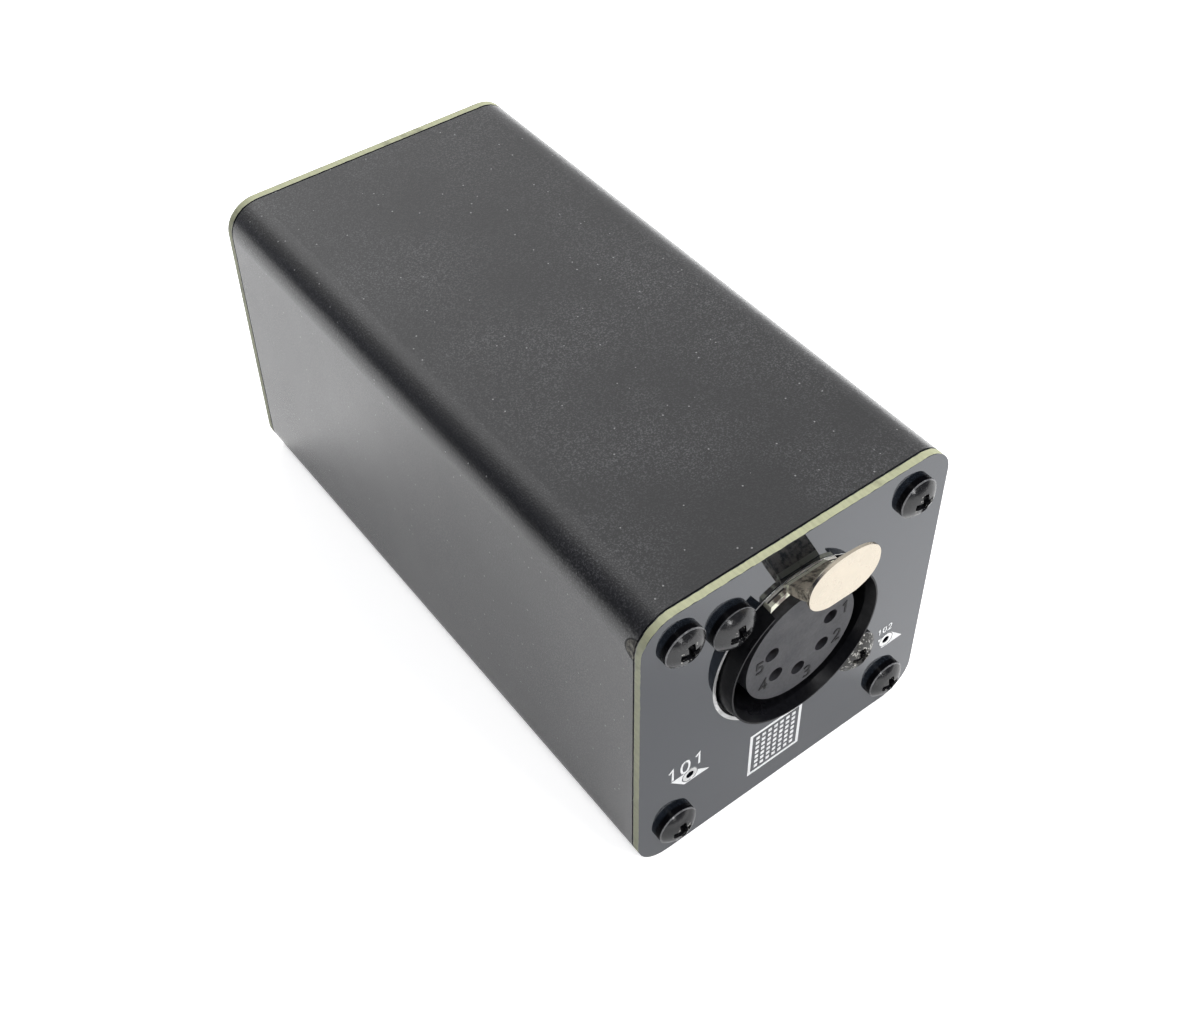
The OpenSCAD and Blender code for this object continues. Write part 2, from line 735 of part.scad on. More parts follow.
// Power and service socket: a flattened tube with a tongue on a base block
module at_usb() {
    translate([usb_x, usb_face_y, board_top]) children();
}

module usb_shell() {
    color("#cdcdcb") at_usb() translate([0, -usb_l, 0]) difference() {
        slab(usb_l) round_rect(usb_w, usb_h, usb_h / 2 - eps);
        translate([0, -1, usb_wall]) slab(usb_l + 2)
            round_rect(usb_w - 2 * usb_wall, usb_h - 2 * usb_wall, usb_h / 2 - usb_wall - eps);
    }
}

module usb_tongue() {
    gap = usb_wall + 0.02;
    base_l = 2;
    tongue_w = 6.7;
    tongue_t = 0.7;
    color("#1a1a1c") at_usb() translate([0, -usb_l, 0]) union() {
        translate([0, 0, gap]) slab(base_l)
            round_rect(usb_w - 2 * gap, usb_h - 2 * gap, usb_h / 2 - gap - eps);
        translate([-tongue_w / 2, base_l - eps, (usb_h - tongue_t) / 2])
            cube([tongue_w, usb_l - base_l - 0.6, tongue_t]);
    }
}

// Flat chip: a body just above the board and rows of bent feet on its long or all sides
module chip(w, l, h, feet, pitch, all_sides = false) {
    pad = 0.5 * pitch;
    sheet = 0.15;
    stand = 0.1;
    translate([0, 0, stand]) block(w, l, h);
    for (side = [0:all_sides ? 3 : 1]) {
        across = side % 2 == 0;
        angle = all_sides ? side * 90 : side * 180;
        half = all_sides && !across ? l / 2 : w / 2;
        rotate(angle) for (i = [0:feet - 1])
            translate([half - eps, (i - (feet - 1) / 2) * pitch - pad / 2, 0]) {
                cube([foot_l, pad, sheet]);
                cube([sheet, pad, h / 2]);
            }
    }
}

module on_board(place) {
    translate([place[0], place[1], board_top]) children();
}

module controller_chip() {
    color("#1d1d1f") on_board([controller_x, network_y])
        chip(controller_w, controller_w, controller_h, feet = 12, pitch = 0.5, all_sides = true);
}

module network_chip() {
    color("#1d1d1f") on_board([-jack_x, network_y])
        chip(network_w, network_w, network_h, feet = 8, pitch = 0.5, all_sides = true);
}

module network_transformer() {
    color("#18181a") on_board([-jack_x, transformer_y])
        chip(transformer_w, transformer_l, transformer_h, feet = 8, pitch = pin_pitch / 2);
}

module bus_driver() {
    color("#1d1d1f") on_board([driver_x, driver_y])
        chip(driver_w, driver_l, driver_h, feet = 8, pitch = pin_pitch / 2);
}

// Small isolated supply: a potted block standing on four pins
module isolated_supply() {
    stand = 0.4;
    color("#101012") on_board([supply_x, supply_y]) {
        translate([0, 0, stand]) block(supply_w, supply_l, supply_h);
        for (i = [0:3]) translate([(i - 1.5) * pin_pitch, 0, 0]) block(0.5, 0.3, stand + eps);
    }
}

module regulator() {
    color("#1d1d1f") on_board([coil_x, regulator_y])
        chip(regulator_w, regulator_l, regulator_h, feet = 3, pitch = 2.3);
}

// Shielded inductor: a square block with a round core
module power_inductor() {
    recess = 0.8;
    color("#46474a") on_board([coil_x, coil_y]) union() {
        difference() {
            block(coil_w, coil_w, coil_h);
            translate([0, 0, coil_h - recess]) cylinder(d = coil_w - 1.4, h = 2);
        }
        translate([0, 0, coil_h - recess - eps]) cylinder(d = coil_w - 2, h = 0.75 * recess);
    }
}

// Two can capacitors on their square bases
module capacitors() {
    base_h = 0.9;
    corner_cut = 1.4;
    color("#b9bcc0") for (i = [0, 1]) on_board([cans_x, cans_y - i * (can_base + 1.4)]) {
        difference() {
            block(can_base, can_base, base_h);
            for (x = [-1, 1]) translate([x * can_base / 2, can_base / 2, -1])
                rotate(45) block(corner_cut, corner_cut, 3);
        }
        translate([0, 0, base_h - eps]) cylinder(d = can_d, h = can_h);
    }
}

// Crystal in a flat can with round ends
module crystal() {
    straight = crystal_l - crystal_w;
    lip = 0.25;
    lip_h = 0.3;
    color("#c6c8ca") on_board([crystal_x, network_y]) {
        translate([0, 0, lip_h]) linear_extrude(crystal_h - lip_h) {
            square([crystal_w, straight], center = true);
            for (y = [-1, 1]) translate([0, y * straight / 2]) circle(d = crystal_w);
        }
        block(crystal_w + 2 * lip, crystal_l + 2 * lip, lip_h + eps);
    }
}

// Four square pins in a plastic strip
module service_header() {
    pin = 0.64;
    color("#1a1a1c") on_board([header_x, header_y]) {
        block(header_w, 4 * pin_pitch, header_w);
        for (i = [0:3]) translate([0, (i - 1.5) * pin_pitch, header_w - eps]) block(pin, pin, 6);
    }
}

// Resistors and small capacitors in three rows beside the chips
module small_parts() {
    color("#8a8472") {
        for (i = [0:3]) on_board([supply_x + (i - 1.3) * row_step, supply_row_y])
            block(resistor_l, resistor_w, resistor_h);
        for (i = [0:3]) on_board([-edge_x + 2.7, -tube_l / 2 + (i + 3) * row_step])
            block(resistor_w, resistor_l, resistor_h);
        for (i = [0:2]) on_board([0, transformer_y + transformer_l / 2 - (i + 0.5) * row_step])
            block(resistor_w, resistor_l, 1.6 * resistor_h);
    }
}

tube();
front_plate();
rear_plate();
front_screws();
rear_screws();
main_board();
socket_housing();
contact_carrier();
socket_contacts();
socket_screws();
socket_latch();
latch_pin();
latch_spring();
signal_light();
switch_body();
switch_cover();
switch_plunger();
jack_shield();
jack_body();
jack_contacts();
jack_lights();
usb_shell();
usb_tongue();
controller_chip();
network_chip();
network_transformer();
bus_driver();
isolated_supply();
regulator();
power_inductor();
capacitors();
crystal();
service_header();
small_parts();
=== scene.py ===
"""Looks of a small network node for stage lighting.

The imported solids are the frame: an extruded case with a circuit-board plate at each
end, a round socket with a push latch in front, and network and power sockets behind.
This file gives them their finishes, adds the print on the plate, the moulded numbers
in the socket and the latch's wound spring, and sets up the floor, the light and the
camera.
Lengths are in metres. X runs to the right seen from the front, Y to the back, Z up.
"""

import math

import bmesh
import bpy
import numpy as np
from bpy.props import FloatProperty, FloatVectorProperty, PointerProperty
from bpy.types import Operator, Panel, PropertyGroup
from mathutils import Matrix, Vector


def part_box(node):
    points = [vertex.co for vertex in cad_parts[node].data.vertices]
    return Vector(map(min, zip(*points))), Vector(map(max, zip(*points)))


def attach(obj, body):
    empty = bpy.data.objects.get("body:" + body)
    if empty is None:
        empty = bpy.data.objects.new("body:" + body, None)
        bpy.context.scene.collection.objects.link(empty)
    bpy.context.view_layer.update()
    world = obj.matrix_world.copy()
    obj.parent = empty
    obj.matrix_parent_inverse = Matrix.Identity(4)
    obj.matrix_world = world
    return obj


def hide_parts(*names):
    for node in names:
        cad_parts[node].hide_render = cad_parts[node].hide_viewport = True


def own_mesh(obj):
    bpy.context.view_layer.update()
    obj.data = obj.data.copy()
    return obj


bl_info = {
    "name": "Network Node Looks",
    "version": (1, 0, 0),
    "blender": (4, 5, 0),
    "location": "View3D > Sidebar > Network Node",
    "description": "Finishes, print and studio for a small stage-lighting network node",
    "category": "Object",
}

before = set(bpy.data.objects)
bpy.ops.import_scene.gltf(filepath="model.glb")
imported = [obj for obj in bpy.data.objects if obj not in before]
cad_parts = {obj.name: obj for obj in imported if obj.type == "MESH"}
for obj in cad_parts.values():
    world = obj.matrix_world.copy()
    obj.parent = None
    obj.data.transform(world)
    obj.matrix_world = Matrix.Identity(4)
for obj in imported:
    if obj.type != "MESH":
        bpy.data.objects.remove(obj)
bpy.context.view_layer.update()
MM = 0.001

# Places read from the frame
PLATE_LOW, PLATE_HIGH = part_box("front_plate")
CARRIER_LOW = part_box("contact_carrier")[0]
THUMB_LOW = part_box("socket_latch")[0]
LIGHT_LOW, LIGHT_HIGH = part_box("signal_light")
PLUNGER_LOW, PLUNGER_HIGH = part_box("switch_plunger")
PIN_LOW, PIN_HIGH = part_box("latch_pin")
SPRING_LOW, SPRING_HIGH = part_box("latch_spring")
PLATE_Y = PLATE_LOW.y
CARRIER_Y = CARRIER_LOW.y
LIGHT_X = (LIGHT_LOW.x + LIGHT_HIGH.x) / 2
LIGHT_Z = (LIGHT_LOW.z + LIGHT_HIGH.z) / 2
BUTTON_X = (PLUNGER_LOW.x + PLUNGER_HIGH.x) / 2
BUTTON_Z = (PLUNGER_LOW.z + PLUNGER_HIGH.z) / 2

# Case and socket: edge radius, and how far the latch's pin lies over the socket's axis
CORNER_RADIUS = 4.2 * MM
PIVOT_TO_AXIS = 11.6 * MM
SOCKET_Z = (PIN_LOW.z + PIN_HIGH.z) / 2 - PIVOT_TO_AXIS

# Screw heads: their radii, the cross recess with the part of its depth that is painted shade,
# the ball in which one screw is worn, and height and half width of the rim's painted highlight
CASE_HEAD_RADIUS = 2.6 * MM
SOCKET_HEAD_RADIUS = 2.8 * MM
SOCKET_SCREW_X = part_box("socket_screws")[1].x - SOCKET_HEAD_RADIUS
RECESS_DEPTH = 0.8 * MM
RECESS_RADIUS = 1.5 * MM
RECESS_SHADE = 0.45 * MM
WORN_RADIUS = 3.6 * MM
RIM_HEIGHT = 0.76 * MM
RIM_HALF_WIDTH = 0.07 * MM

# Latch: thickness of the polished thumb plate, half width of the dark stem and how far
# in front of the end plate it starts, and how far in front of the end plate the lever's
# upper side has a painted highlight, then painted shade
THUMB_RIM = 0.36 * MM
STEM_HALF_WIDTH = 2.72 * MM
STEM_START = 0.9 * MM
LEVER_HIGHLIGHT_REACH = 0.18 * MM
LEVER_SHADE_REACH = 0.38 * MM

# Return spring: radius of its wire and its turns
SPRING_WIRE = 0.15 * MM
SPRING_TURNS = 2.5

# End plates: share of the sawn edge's thickness that is bare, how far the bare part
# wanders, and how far inside the outline a face still counts as the outer edge
BARE_SHARE = 0.9
BARE_WANDER = 0.05 * MM
EDGE_SLACK = 0.2 * MM

# Nick at the front of the tube: its radius, how far its middle lies outside the rounded edge, its
# turn about the edge's centre, and how far bare metal and the bruise in painted shade reach past
# it
NICK_RADIUS = 1.6 * MM
NICK_OUT = 0.85 * MM
NICK_TURN = math.radians(9)
NICK_BARE = 0.03 * MM
NICK_SHADE_AND_BRUISE = 0.20 * MM

# Print on the front plate: how deep it is sunk, and points round a ring, pad and mark
PRINT_SUNK = 0.01 * MM
RING_POINTS = 96
PAD_POINTS = 48
MARK_POINTS = 64

# Dot grid: its middle, dots in a row, width of its frame, margin outside the dots, and
# half a dot's width as a share of the pitch
GRID_X = -1.3 * MM
GRID_Z = 7.4 * MM
GRID_COUNT = 7
GRID_FRAME = 0.42 * MM
GRID_MARGIN = 0.75 * MM
DOT_SHARE = 0.29

# Slanted marks: start and end of the upper and the lower side, right of the hole, how
# far the upper side lies over the hole, and the gap's reach about a pad in pad radii
LIGHT_MARK_TOP = (-2.68 * MM, -0.04 * MM)
LIGHT_MARK_FOOT = (-0.74 * MM, 2.78 * MM)
BUTTON_MARK_TOP = (-1.35 * MM, 0.80 * MM)
BUTTON_MARK_FOOT = (-0.50 * MM, 2.80 * MM)
MARK_RISE = 0.84 * MM
PAD_GAP = 1.12

# Printed numbers: middle from the hole to the right and up, height, width of a stroke
LIGHT_NUMBER = (-0.7 * MM, 2.05 * MM, 2.05 * MM, 0.29 * MM)
BUTTON_NUMBER = (-0.45 * MM, 2.2 * MM, 0.95 * MM, 0.16 * MM)

# Numbers raised on the contact carrier, their dark colour painted shade: middle of each in
# millimetres from the socket's axis, width of a stroke, and how deep they are sunk
CONTACT_PLACES = {
    "5": (-5.8, 0.3), "4": (-5.0, -3.2), "3": (1.5, -6.2), "2": (5.6, -3.0), "1": (6.3, 1.2),
}
CONTACT_STROKE = 0.28 * MM
CONTACT_SUNK = 0.03 * MM

# Figures: middle of the box that their paths are drawn in, its width as a share of the
# height when drawn, and the step from figure to figure in heights
FIGURE_MIDDLE = (0.45, 0.5)
FIGURE_WIDTH = 0.72
FIGURE_STEP = 0.9

# The camera that took the photograph, worked out from the ruler's marks and the outline
IMAGE_SIZE = (1200, 1028)
FOCAL_PX = 1590.8
CENTRE_PX = (631.8, 373.9)
CAMERA_PLACE = (-0.07870, -0.11391, 0.16182)
CAMERA_TURN_DEG = (46.959, -0.207, -37.928)

# Floor: half its width, and its glow for the camera and for gloss
FLOOR_HALF = 1.6
FLOOR_GLOW = 0.72
FLOOR_GLOSS = 0.17

# Room: the direction of its open side, how light it is there and away from it, the
# colour away from it, and the nearness at which the light and the white begin
OPEN_SIDE = (0.40, 0.78, 0.48)
ROOM_WHITE = 0.74
ROOM_DIM = 0.03
ROOM_DIM_COLOUR = (0.5, 0.58, 1.0)
OPEN_FROM = 0.3
WHITE_FROM = 0.6

# Lamps, all pointed at the origin: name, place, width in metres, power in watts, and
# whether it shows in gloss. Two only light, one shows along the left edge, two glint.
LAMPS = (
    ("lamp_behind", (0.50, 0.62, 0.75), 0.5, 9.0, False),
    ("lamp_front", (0.35, -0.85, 0.60), 0.5, 9.0, False),
    ("lamp_edge", (0.02, 0.70, 0.80), 0.60, 0.8, True),
    ("lamp_above", (-0.25, -0.35, 1.0), 0.16, 2.0, True),
    ("lamp_low", (-0.08, -0.96, 0.30), 0.10, 0.6, True),
)


class Finish:
    """A material in the making. Each method adds one node and returns its output."""

    def __init__(self, name, colour, roughness, metallic=0.0, ior=1.5):
        self.material = bpy.data.materials.new(name)
        self.material.use_nodes = True
        self.tree = self.material.node_tree
        self.shader = self.tree.nodes["Principled BSDF"]
        self.shader.inputs["Base Color"].default_value = (*colour, 1.0)
        self.shader.inputs["Roughness"].default_value = roughness
        self.shader.inputs["Metallic"].default_value = metallic
        self.shader.inputs["IOR"].default_value = ior
        self.material.diffuse_color = (*colour, 1.0)
        self.coordinate = self.tree.nodes.new("ShaderNodeTexCoord")

    def feed(self, socket, value):
        """Link a socket, or set a plain number or colour."""
        if isinstance(value, bpy.types.NodeSocket):
            self.tree.links.new(value, socket)
        elif hasattr(value, "__len__") and len(socket.default_value) == 4:
            socket.default_value = (*value[:3], 1.0)
        else:
            socket.default_value = value

    def set(self, name, value):
        """Feed one input of the shader."""
        self.feed(self.shader.inputs[name], value)

    def noise(self, scale, detail=2.0, roughness=0.5, stretch=(1, 1, 1)):
        """Cloud pattern in object space, scale in turns per metre."""
        mapping = self.tree.nodes.new("ShaderNodeMapping")
        mapping.inputs["Scale"].default_value = stretch
        node = self.tree.nodes.new("ShaderNodeTexNoise")
        node.inputs["Scale"].default_value = scale
        node.inputs["Detail"].default_value = detail
        node.inputs["Roughness"].default_value = roughness
        self.tree.links.new(self.coordinate.outputs["Object"], mapping.inputs["Vector"])
        self.tree.links.new(mapping.outputs["Vector"], node.inputs["Vector"])
        return node.outputs["Fac"]

    def cells(self, scale, output="Distance"):
        """Distance to the nearest of scattered points, or that point's random colour."""
        node = self.tree.nodes.new("ShaderNodeTexVoronoi")
        node.inputs["Scale"].default_value = scale
        self.tree.links.new(self.coordinate.outputs["Object"], node.inputs["Vector"])
        return node.outputs[output]

    def span(self, value, from_low, from_high, to_low=0.0, to_high=1.0):
        """Carry a value from one range to another and clamp it there."""
        node = self.tree.nodes.new("ShaderNodeMapRange")
        for name, number in zip(
            ("Value", "From Min", "From Max", "To Min", "To Max"),
            (value, from_low, from_high, to_low, to_high),
        ):
            self.feed(node.inputs[name], number)
        return node.outputs["Result"]

    def near(self, place, radius):
        """One inside a ball about a place, none outside it."""
        node = self.tree.nodes.new("ShaderNodeVectorMath")
        node.operation = "DISTANCE"
        node.inputs[1].default_value = place
        self.tree.links.new(self.coordinate.outputs["Object"], node.inputs[0])
        return self.math("LESS_THAN", node.outputs["Value"], radius)

    def math(self, operation, first, second=0.0):
        """One sum of two values."""
        node = self.tree.nodes.new("ShaderNodeMath")
        node.operation = operation
        self.feed(node.inputs[0], first)
        self.feed(node.inputs[1], second)
        return node.outputs[0]

    def mix(self, amount, first, second):
        """Mix two colours."""
        node = self.tree.nodes.new("ShaderNodeMix")
        node.data_type = "RGBA"
        self.feed(node.inputs["Factor"], amount)
        self.feed(node.inputs[6], first)
        self.feed(node.inputs[7], second)
        return node.outputs[2]

    def part(self, axis, normal=False):
        """One coordinate of the surface point, or of its normal, in object space."""
        node = self.tree.nodes.new("ShaderNodeSeparateXYZ")
        source = self.coordinate.outputs["Normal" if normal else "Object"]
        self.tree.links.new(source, node.inputs[0])
        return node.outputs[axis]

    def bump(self, height, depth, strength):
        """Raise the surface by a height pattern, depth in metres."""
        node = self.tree.nodes.new("ShaderNodeBump")
        node.inputs["Strength"].default_value = strength
        node.inputs["Distance"].default_value = depth
        self.tree.links.new(height, node.inputs["Height"])
        for name in ("Normal", "Coat Normal"):
            self.tree.links.new(node.outputs["Normal"], self.shader.inputs[name])


def anodised(name, colour, worn_place):
    """Black anodised aluminium: bead-blasted grain, painted glints in patches, bright dust, one
    bare nick in painted shade.
    """
    made = Finish(name, colour, 0.34, 0.0, 1.45)
    made.set("Coat Roughness", 0.14)
    made.set("Coat IOR", 1.45)
    grain = made.noise(5200, 2.0, 0.7)
    clouds = made.noise(38, 3.0)
    patches = made.span(made.noise(55, 2.0), 0.36, 0.64, 0.15, 1.0)
    speck = made.math("LESS_THAN", made.cells(1300), 0.13)
    chosen = made.math("GREATER_THAN", made.cells(1300, "Color"), 0.80)
    dust = made.math("MULTIPLY", speck, chosen)
    # The grain's bright points, in patches, are painted glints: lighter colour in place of the
    # lamps' sparkle. Between them the tone is a little darker.
    painted_glints = made.math("MULTIPLY", made.span(grain, 0.50, 0.66), patches)
    toned = made.mix(painted_glints, [c * 0.7 for c in colour], [c * 2.2 + 0.04 for c in colour])
    dusty = made.mix(made.math("MULTIPLY", dust, 0.6), toned, (0.34, 0.34, 0.34))
    crumbs = made.span(made.noise(2200, 3.0, 0.7), 0.40, 0.60, 0.10, 1.0)
    # In and just round the nick the colour is near black: painted shade in the hollow. There the
    # bruise also has no coat and is rougher.
    nick_shade_and_bruise = made.near(worn_place, NICK_RADIUS + NICK_SHADE_AND_BRUISE)
    nick_shaded = made.mix(nick_shade_and_bruise, dusty, (0.004, 0.004, 0.004))
    worn = made.math("MULTIPLY", made.near(worn_place, NICK_RADIUS + NICK_BARE), crumbs)
    made.set("Base Color", made.mix(worn, nick_shaded, (0.20, 0.19, 0.16)))
    made.set("Coat Weight", made.math("SUBTRACT", 1.0, nick_shade_and_bruise))
    satin = made.span(clouds, 0.3, 0.7, 0.30, 0.42)
    made.set("Roughness", made.math("MAXIMUM", satin, made.math("MULTIPLY", nick_shade_and_bruise, 0.55)))
    made.bump(grain, 0.04 * MM, 0.8)
    return made.material


def beyond(made, axis, middle, half):
    """How far a coordinate lies outside a span about a middle, none inside it."""
    off = made.math("ABSOLUTE", made.math("SUBTRACT", made.part(axis), middle))
    return made.math("MAXIMUM", made.math("SUBTRACT", off, half), 0.0)


def board(name, colour, bare, normal_axis, corner=None, core=None):
    """Glossy coated board whose sawn outer edge shows bare glass fibre.

    An end plate's edge is told from its holes by the distance from the rounded
    rectangle that lies inside its outline: half width, middle height and radius.
    The coating reaches a little round both faces, so the edge is bare only in its core,
    given by its middle's distance from the case's middle and its half thickness along Y.
    """
    made = Finish(name, colour, 0.06, 0.0, 1.96)
    made.set("Specular Tint", (0.92, 0.95, 1.0))
    facing = made.math("ABSOLUTE", made.part(normal_axis, normal=True))
    edge = made.math("LESS_THAN", facing, 0.5)
    if corner:
        half_width, middle, radius = corner
        across = beyond(made, "X", 0.0, half_width - radius)
        up = beyond(made, "Z", middle, half_width - radius)
        reach = made.math("ADD", made.math("POWER", across, 2.0), made.math("POWER", up, 2.0))
        outer = made.math("GREATER_THAN", reach, (radius - EDGE_SLACK) ** 2)
        edge = made.math("MULTIPLY", edge, outer)
    if core:
        wander = made.span(made.noise(900, 3.0), 0.3, 0.7, -BARE_WANDER, BARE_WANDER)
        depth = made.math("SUBTRACT", made.math("ABSOLUTE", made.part("Y")), core[0])
        off = made.math("ADD", made.math("ABSOLUTE", depth), wander)
        edge = made.math("MULTIPLY", edge, made.math("LESS_THAN", off, core[1]))
    fibre = made.noise(2600, 3.0, 0.6, (1, 0.25, 1))
    dirt = made.noise(160, 4.0, 0.65)
    bare_toned = made.mix(made.span(fibre, 0.3, 0.7), [c * 0.78 for c in bare], bare)
    bare_worn = made.mix(made.span(dirt, 0.60, 0.72), bare_toned, [c * 0.35 for c in bare])
    made.set("Base Color", made.mix(edge, colour, bare_worn))
    made.set("Roughness", made.span(edge, 0.0, 1.0, 0.05, 0.62))
    made.bump(made.noise(260, 2.0), 0.02 * MM, 0.1)
    return made.material


def moulded(name, colour, roughness, grain=2200, depth=0.012, ior=1.5, shine=0.5):
    """Moulded plastic: fine spark-eroded texture with slight changes of gloss.

    Grain is the texture's scale in turns per metre and depth its height in millimetres.
    """
    made = Finish(name, colour, roughness, 0.0, ior)
    made.set("Specular IOR Level", shine)
    texture = made.noise(grain, 3.0, 0.6)
    pale = [c * 1.5 + 0.004 for c in colour]
    made.set("Base Color", made.mix(made.span(texture, 0.35, 0.8), colour, pale))
    made.set("Roughness", made.span(made.noise(300), 0.3, 0.7, roughness - 0.06, roughness + 0.08))
    made.bump(texture, depth * MM, 0.8)
    return made.material


def black_screw(name, colour, worn_place, recesses):
    """Black plated steel, glossy and lightly pitted, with bright flecks about the recesses.

    One screw has lost most of its plating. A painted highlight runs along each head's
    rim, and under the rim and deep in the recess the colour is painted shade, dark and matt.
    """
    made = Finish(name, colour, 0.18, 0.0, 1.62)
    patches = made.noise(70, 2.0)
    scuffs = made.noise(1500, 4.0, 0.7)
    crumbs = made.noise(2600, 2.0, 0.8)
    light = made.math("MULTIPLY", made.span(patches, 0.54, 0.66), made.span(scuffs, 0.50, 0.68))
    worn = made.near(worn_place, WORN_RADIUS)
    lost = made.math("MULTIPLY", worn, made.span(scuffs, 0.36, 0.50))
    bare = made.math("MULTIPLY", worn, made.span(crumbs, 0.575, 0.625))
    toned = made.mix(made.math("MULTIPLY", light, 0.6), colour, (0.14, 0.14, 0.13))
    greyed = made.mix(lost, toned, (0.035, 0.034, 0.031))
    about = made.near(recesses[0], RECESS_RADIUS)
    for place in recesses[1:]:
        about = made.math("MAXIMUM", about, made.near(place, RECESS_RADIUS))
    flecks = made.math("MULTIPLY", about, made.span(crumbs, 0.60, 0.66))
    bright = made.math("MAXIMUM", bare, made.math("MULTIPLY", flecks, 0.7))
    from_middle = made.math("ABSOLUTE", made.part("Y"))
    above = made.math("SUBTRACT", from_middle, abs(PLATE_Y) + RIM_HEIGHT)
    # A thin band round each head at the rim's height is a painted highlight: lighter colour where
    # the head's edge would catch the light.
    rim_highlight = made.math("LESS_THAN", made.math("ABSOLUTE", above), RIM_HALF_WIDTH)
    overlaid_tone = made.mix(made.math("MULTIPLY", rim_highlight, made.span(scuffs, 0.3, 0.6, 0.4, 1.0)),
                      greyed, (0.17, 0.17, 0.175))
    flecked = made.mix(bright, overlaid_tone, (0.55, 0.54, 0.50))
    # Under the rim, on each head's side wall, and deep in the cross recess the colour is painted
    # shade: near black with little reflection.
    below_rim_shade = made.math("LESS_THAN", above, -RIM_HALF_WIDTH)
    over_recess = made.math("SUBTRACT", from_middle, abs(recesses[0][1]))
    deep = made.math("MULTIPLY", about, made.math("LESS_THAN", over_recess, RECESS_SHADE))
    dark = made.math("MAXIMUM", below_rim_shade, deep)
    made.set("Base Color", made.mix(dark, flecked, (0.004, 0.004, 0.005)))
    made.set("Specular IOR Level", made.span(dark, 0.0, 1.0, 0.5, 0.08))
    satin = made.math("MULTIPLY", lost, 0.35)
    made.set("Roughness", made.math("ADD", made.span(scuffs, 0.3, 0.75, 0.15, 0.32), satin))
    made.bump(scuffs, 0.02 * MM, 0.5)
    return made.material


def metal(name, colour, roughness, grain=900, spread=0.12, depth=0.01, stretch=(1, 1, 1),
          sheen=1.0):
    """Bare or plated metal with drawn or cast grain and uneven polish.

    Grain is its scale in turns per metre, depth its height in millimetres, spread how far
    the roughness goes either way, and sheen 1 a clean metal.
    """
    made = Finish(name, colour, roughness, sheen)
    streaks = made.noise(grain, 4.0, 0.6, stretch)
    dark = [c * 0.72 for c in colour]
    made.set("Base Color", made.mix(made.span(streaks, 0.3, 0.7), dark, colour))
    low = max(0.05, roughness - spread)
    made.set("Roughness", made.span(streaks, 0.3, 0.7, low, roughness + spread))
    made.bump(streaks, depth * MM, 0.6)
    return made.material


def latch_metal(name, colour):
    """Nickel-plated casting: polished pale thumb plate, dark rough stem, pale blotched lever with
    a painted highlight and painted shade on its upper side by the plate.
    """
    made = Finish(name, colour, 0.3, 1.0)
    rough = made.noise(1300, 5.0, 0.7)
    fine = made.noise(420, 3.0)
    blotch = made.noise(620, 3.0, 0.6)
    front = made.math("LESS_THAN", made.part("Y"), THUMB_LOW.y + THUMB_RIM)
    behind_plate = made.math("SUBTRACT", 1.0, front)
    out = made.math("LESS_THAN", made.part("Y"), PLATE_Y - STEM_START)
    middle = made.math("LESS_THAN", made.math("ABSOLUTE", made.part("X")), STEM_HALF_WIDTH)
    stem = made.math("MULTIPLY", made.math("MULTIPLY", out, middle), behind_plate)
    toned = made.mix(made.span(fine, 0.3, 0.7), [c * 0.9 for c in colour], colour)
    stained = made.math("MULTIPLY", behind_plate, made.span(blotch, 0.57, 0.66, 0.0, 0.9))
    pale = made.mix(behind_plate, toned, [min(1.0, c * 1.5) for c in colour])
    overlaid_tone = made.mix(stained, pale, (0.14, 0.10, 0.085))
    # On the lever's upward faces by the end plate the colour is painted: a pale line nearest the
    # plate is a painted highlight, and the near-black band in front of it is painted shade.
    rising = made.math("GREATER_THAN", made.part("Z", normal=True), 0.3)
    behind_face = made.math("GREATER_THAN", made.part("Y"), PLATE_Y - LEVER_SHADE_REACH)
    painted_lever_top = made.math("MULTIPLY", rising, behind_face)
    rim = made.math("GREATER_THAN", made.part("Y"), PLATE_Y - LEVER_HIGHLIGHT_REACH)
    sides = made.mix(rim, (0.025, 0.022, 0.02), (0.85, 0.82, 0.76))
    lever = made.mix(painted_lever_top, overlaid_tone, sides)
    cast = made.mix(made.span(rough, 0.44, 0.62), (0.62, 0.56, 0.46), (0.09, 0.08, 0.06))
    made.set("Base Color", made.mix(stem, lever, cast))
    made.set("Metallic", made.span(front, 0.0, 1.0, 0.15, 1.0))
    satin = made.math("MULTIPLY", behind_plate, 0.2)
    made.set("Roughness", made.math("ADD", made.span(fine, 0.3, 0.7, 0.22, 0.34), satin))
    made.bump(rough, 0.03 * MM, 0.35)
    return made.material


def printed(name, colour):
    """Screen-printed ink: matt, slightly uneven."""
    made = Finish(name, colour, 0.5)
    uneven = made.noise(3000, 3.0)
    thin = [c * 0.92 for c in colour]
    made.set("Base Color", made.mix(made.span(uneven, 0.35, 0.65), thin, colour))
    made.bump(uneven, 0.005 * MM, 0.5)
    return made.material


def lens(name, colour):
    """Milky moulded lens with a faint swirl."""
    made = Finish(name, colour, 0.18)
    swirl = made.noise(700, 2.0)
    deep = [c * 0.9 for c in colour]
    made.set("Base Color", made.mix(made.span(swirl, 0.3, 0.7), deep, colour))
    made.shader.inputs["Subsurface Weight"].default_value = 0.2
    made.shader.inputs["Subsurface Scale"].default_value = 0.5 * MM
    made.bump(swirl, 0.004 * MM, 0.4)
    return made.material


def dress(node, material):
    """Give a frame node its finish."""
    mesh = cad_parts[node].data
    mesh.materials.clear()
    mesh.materials.append(material)


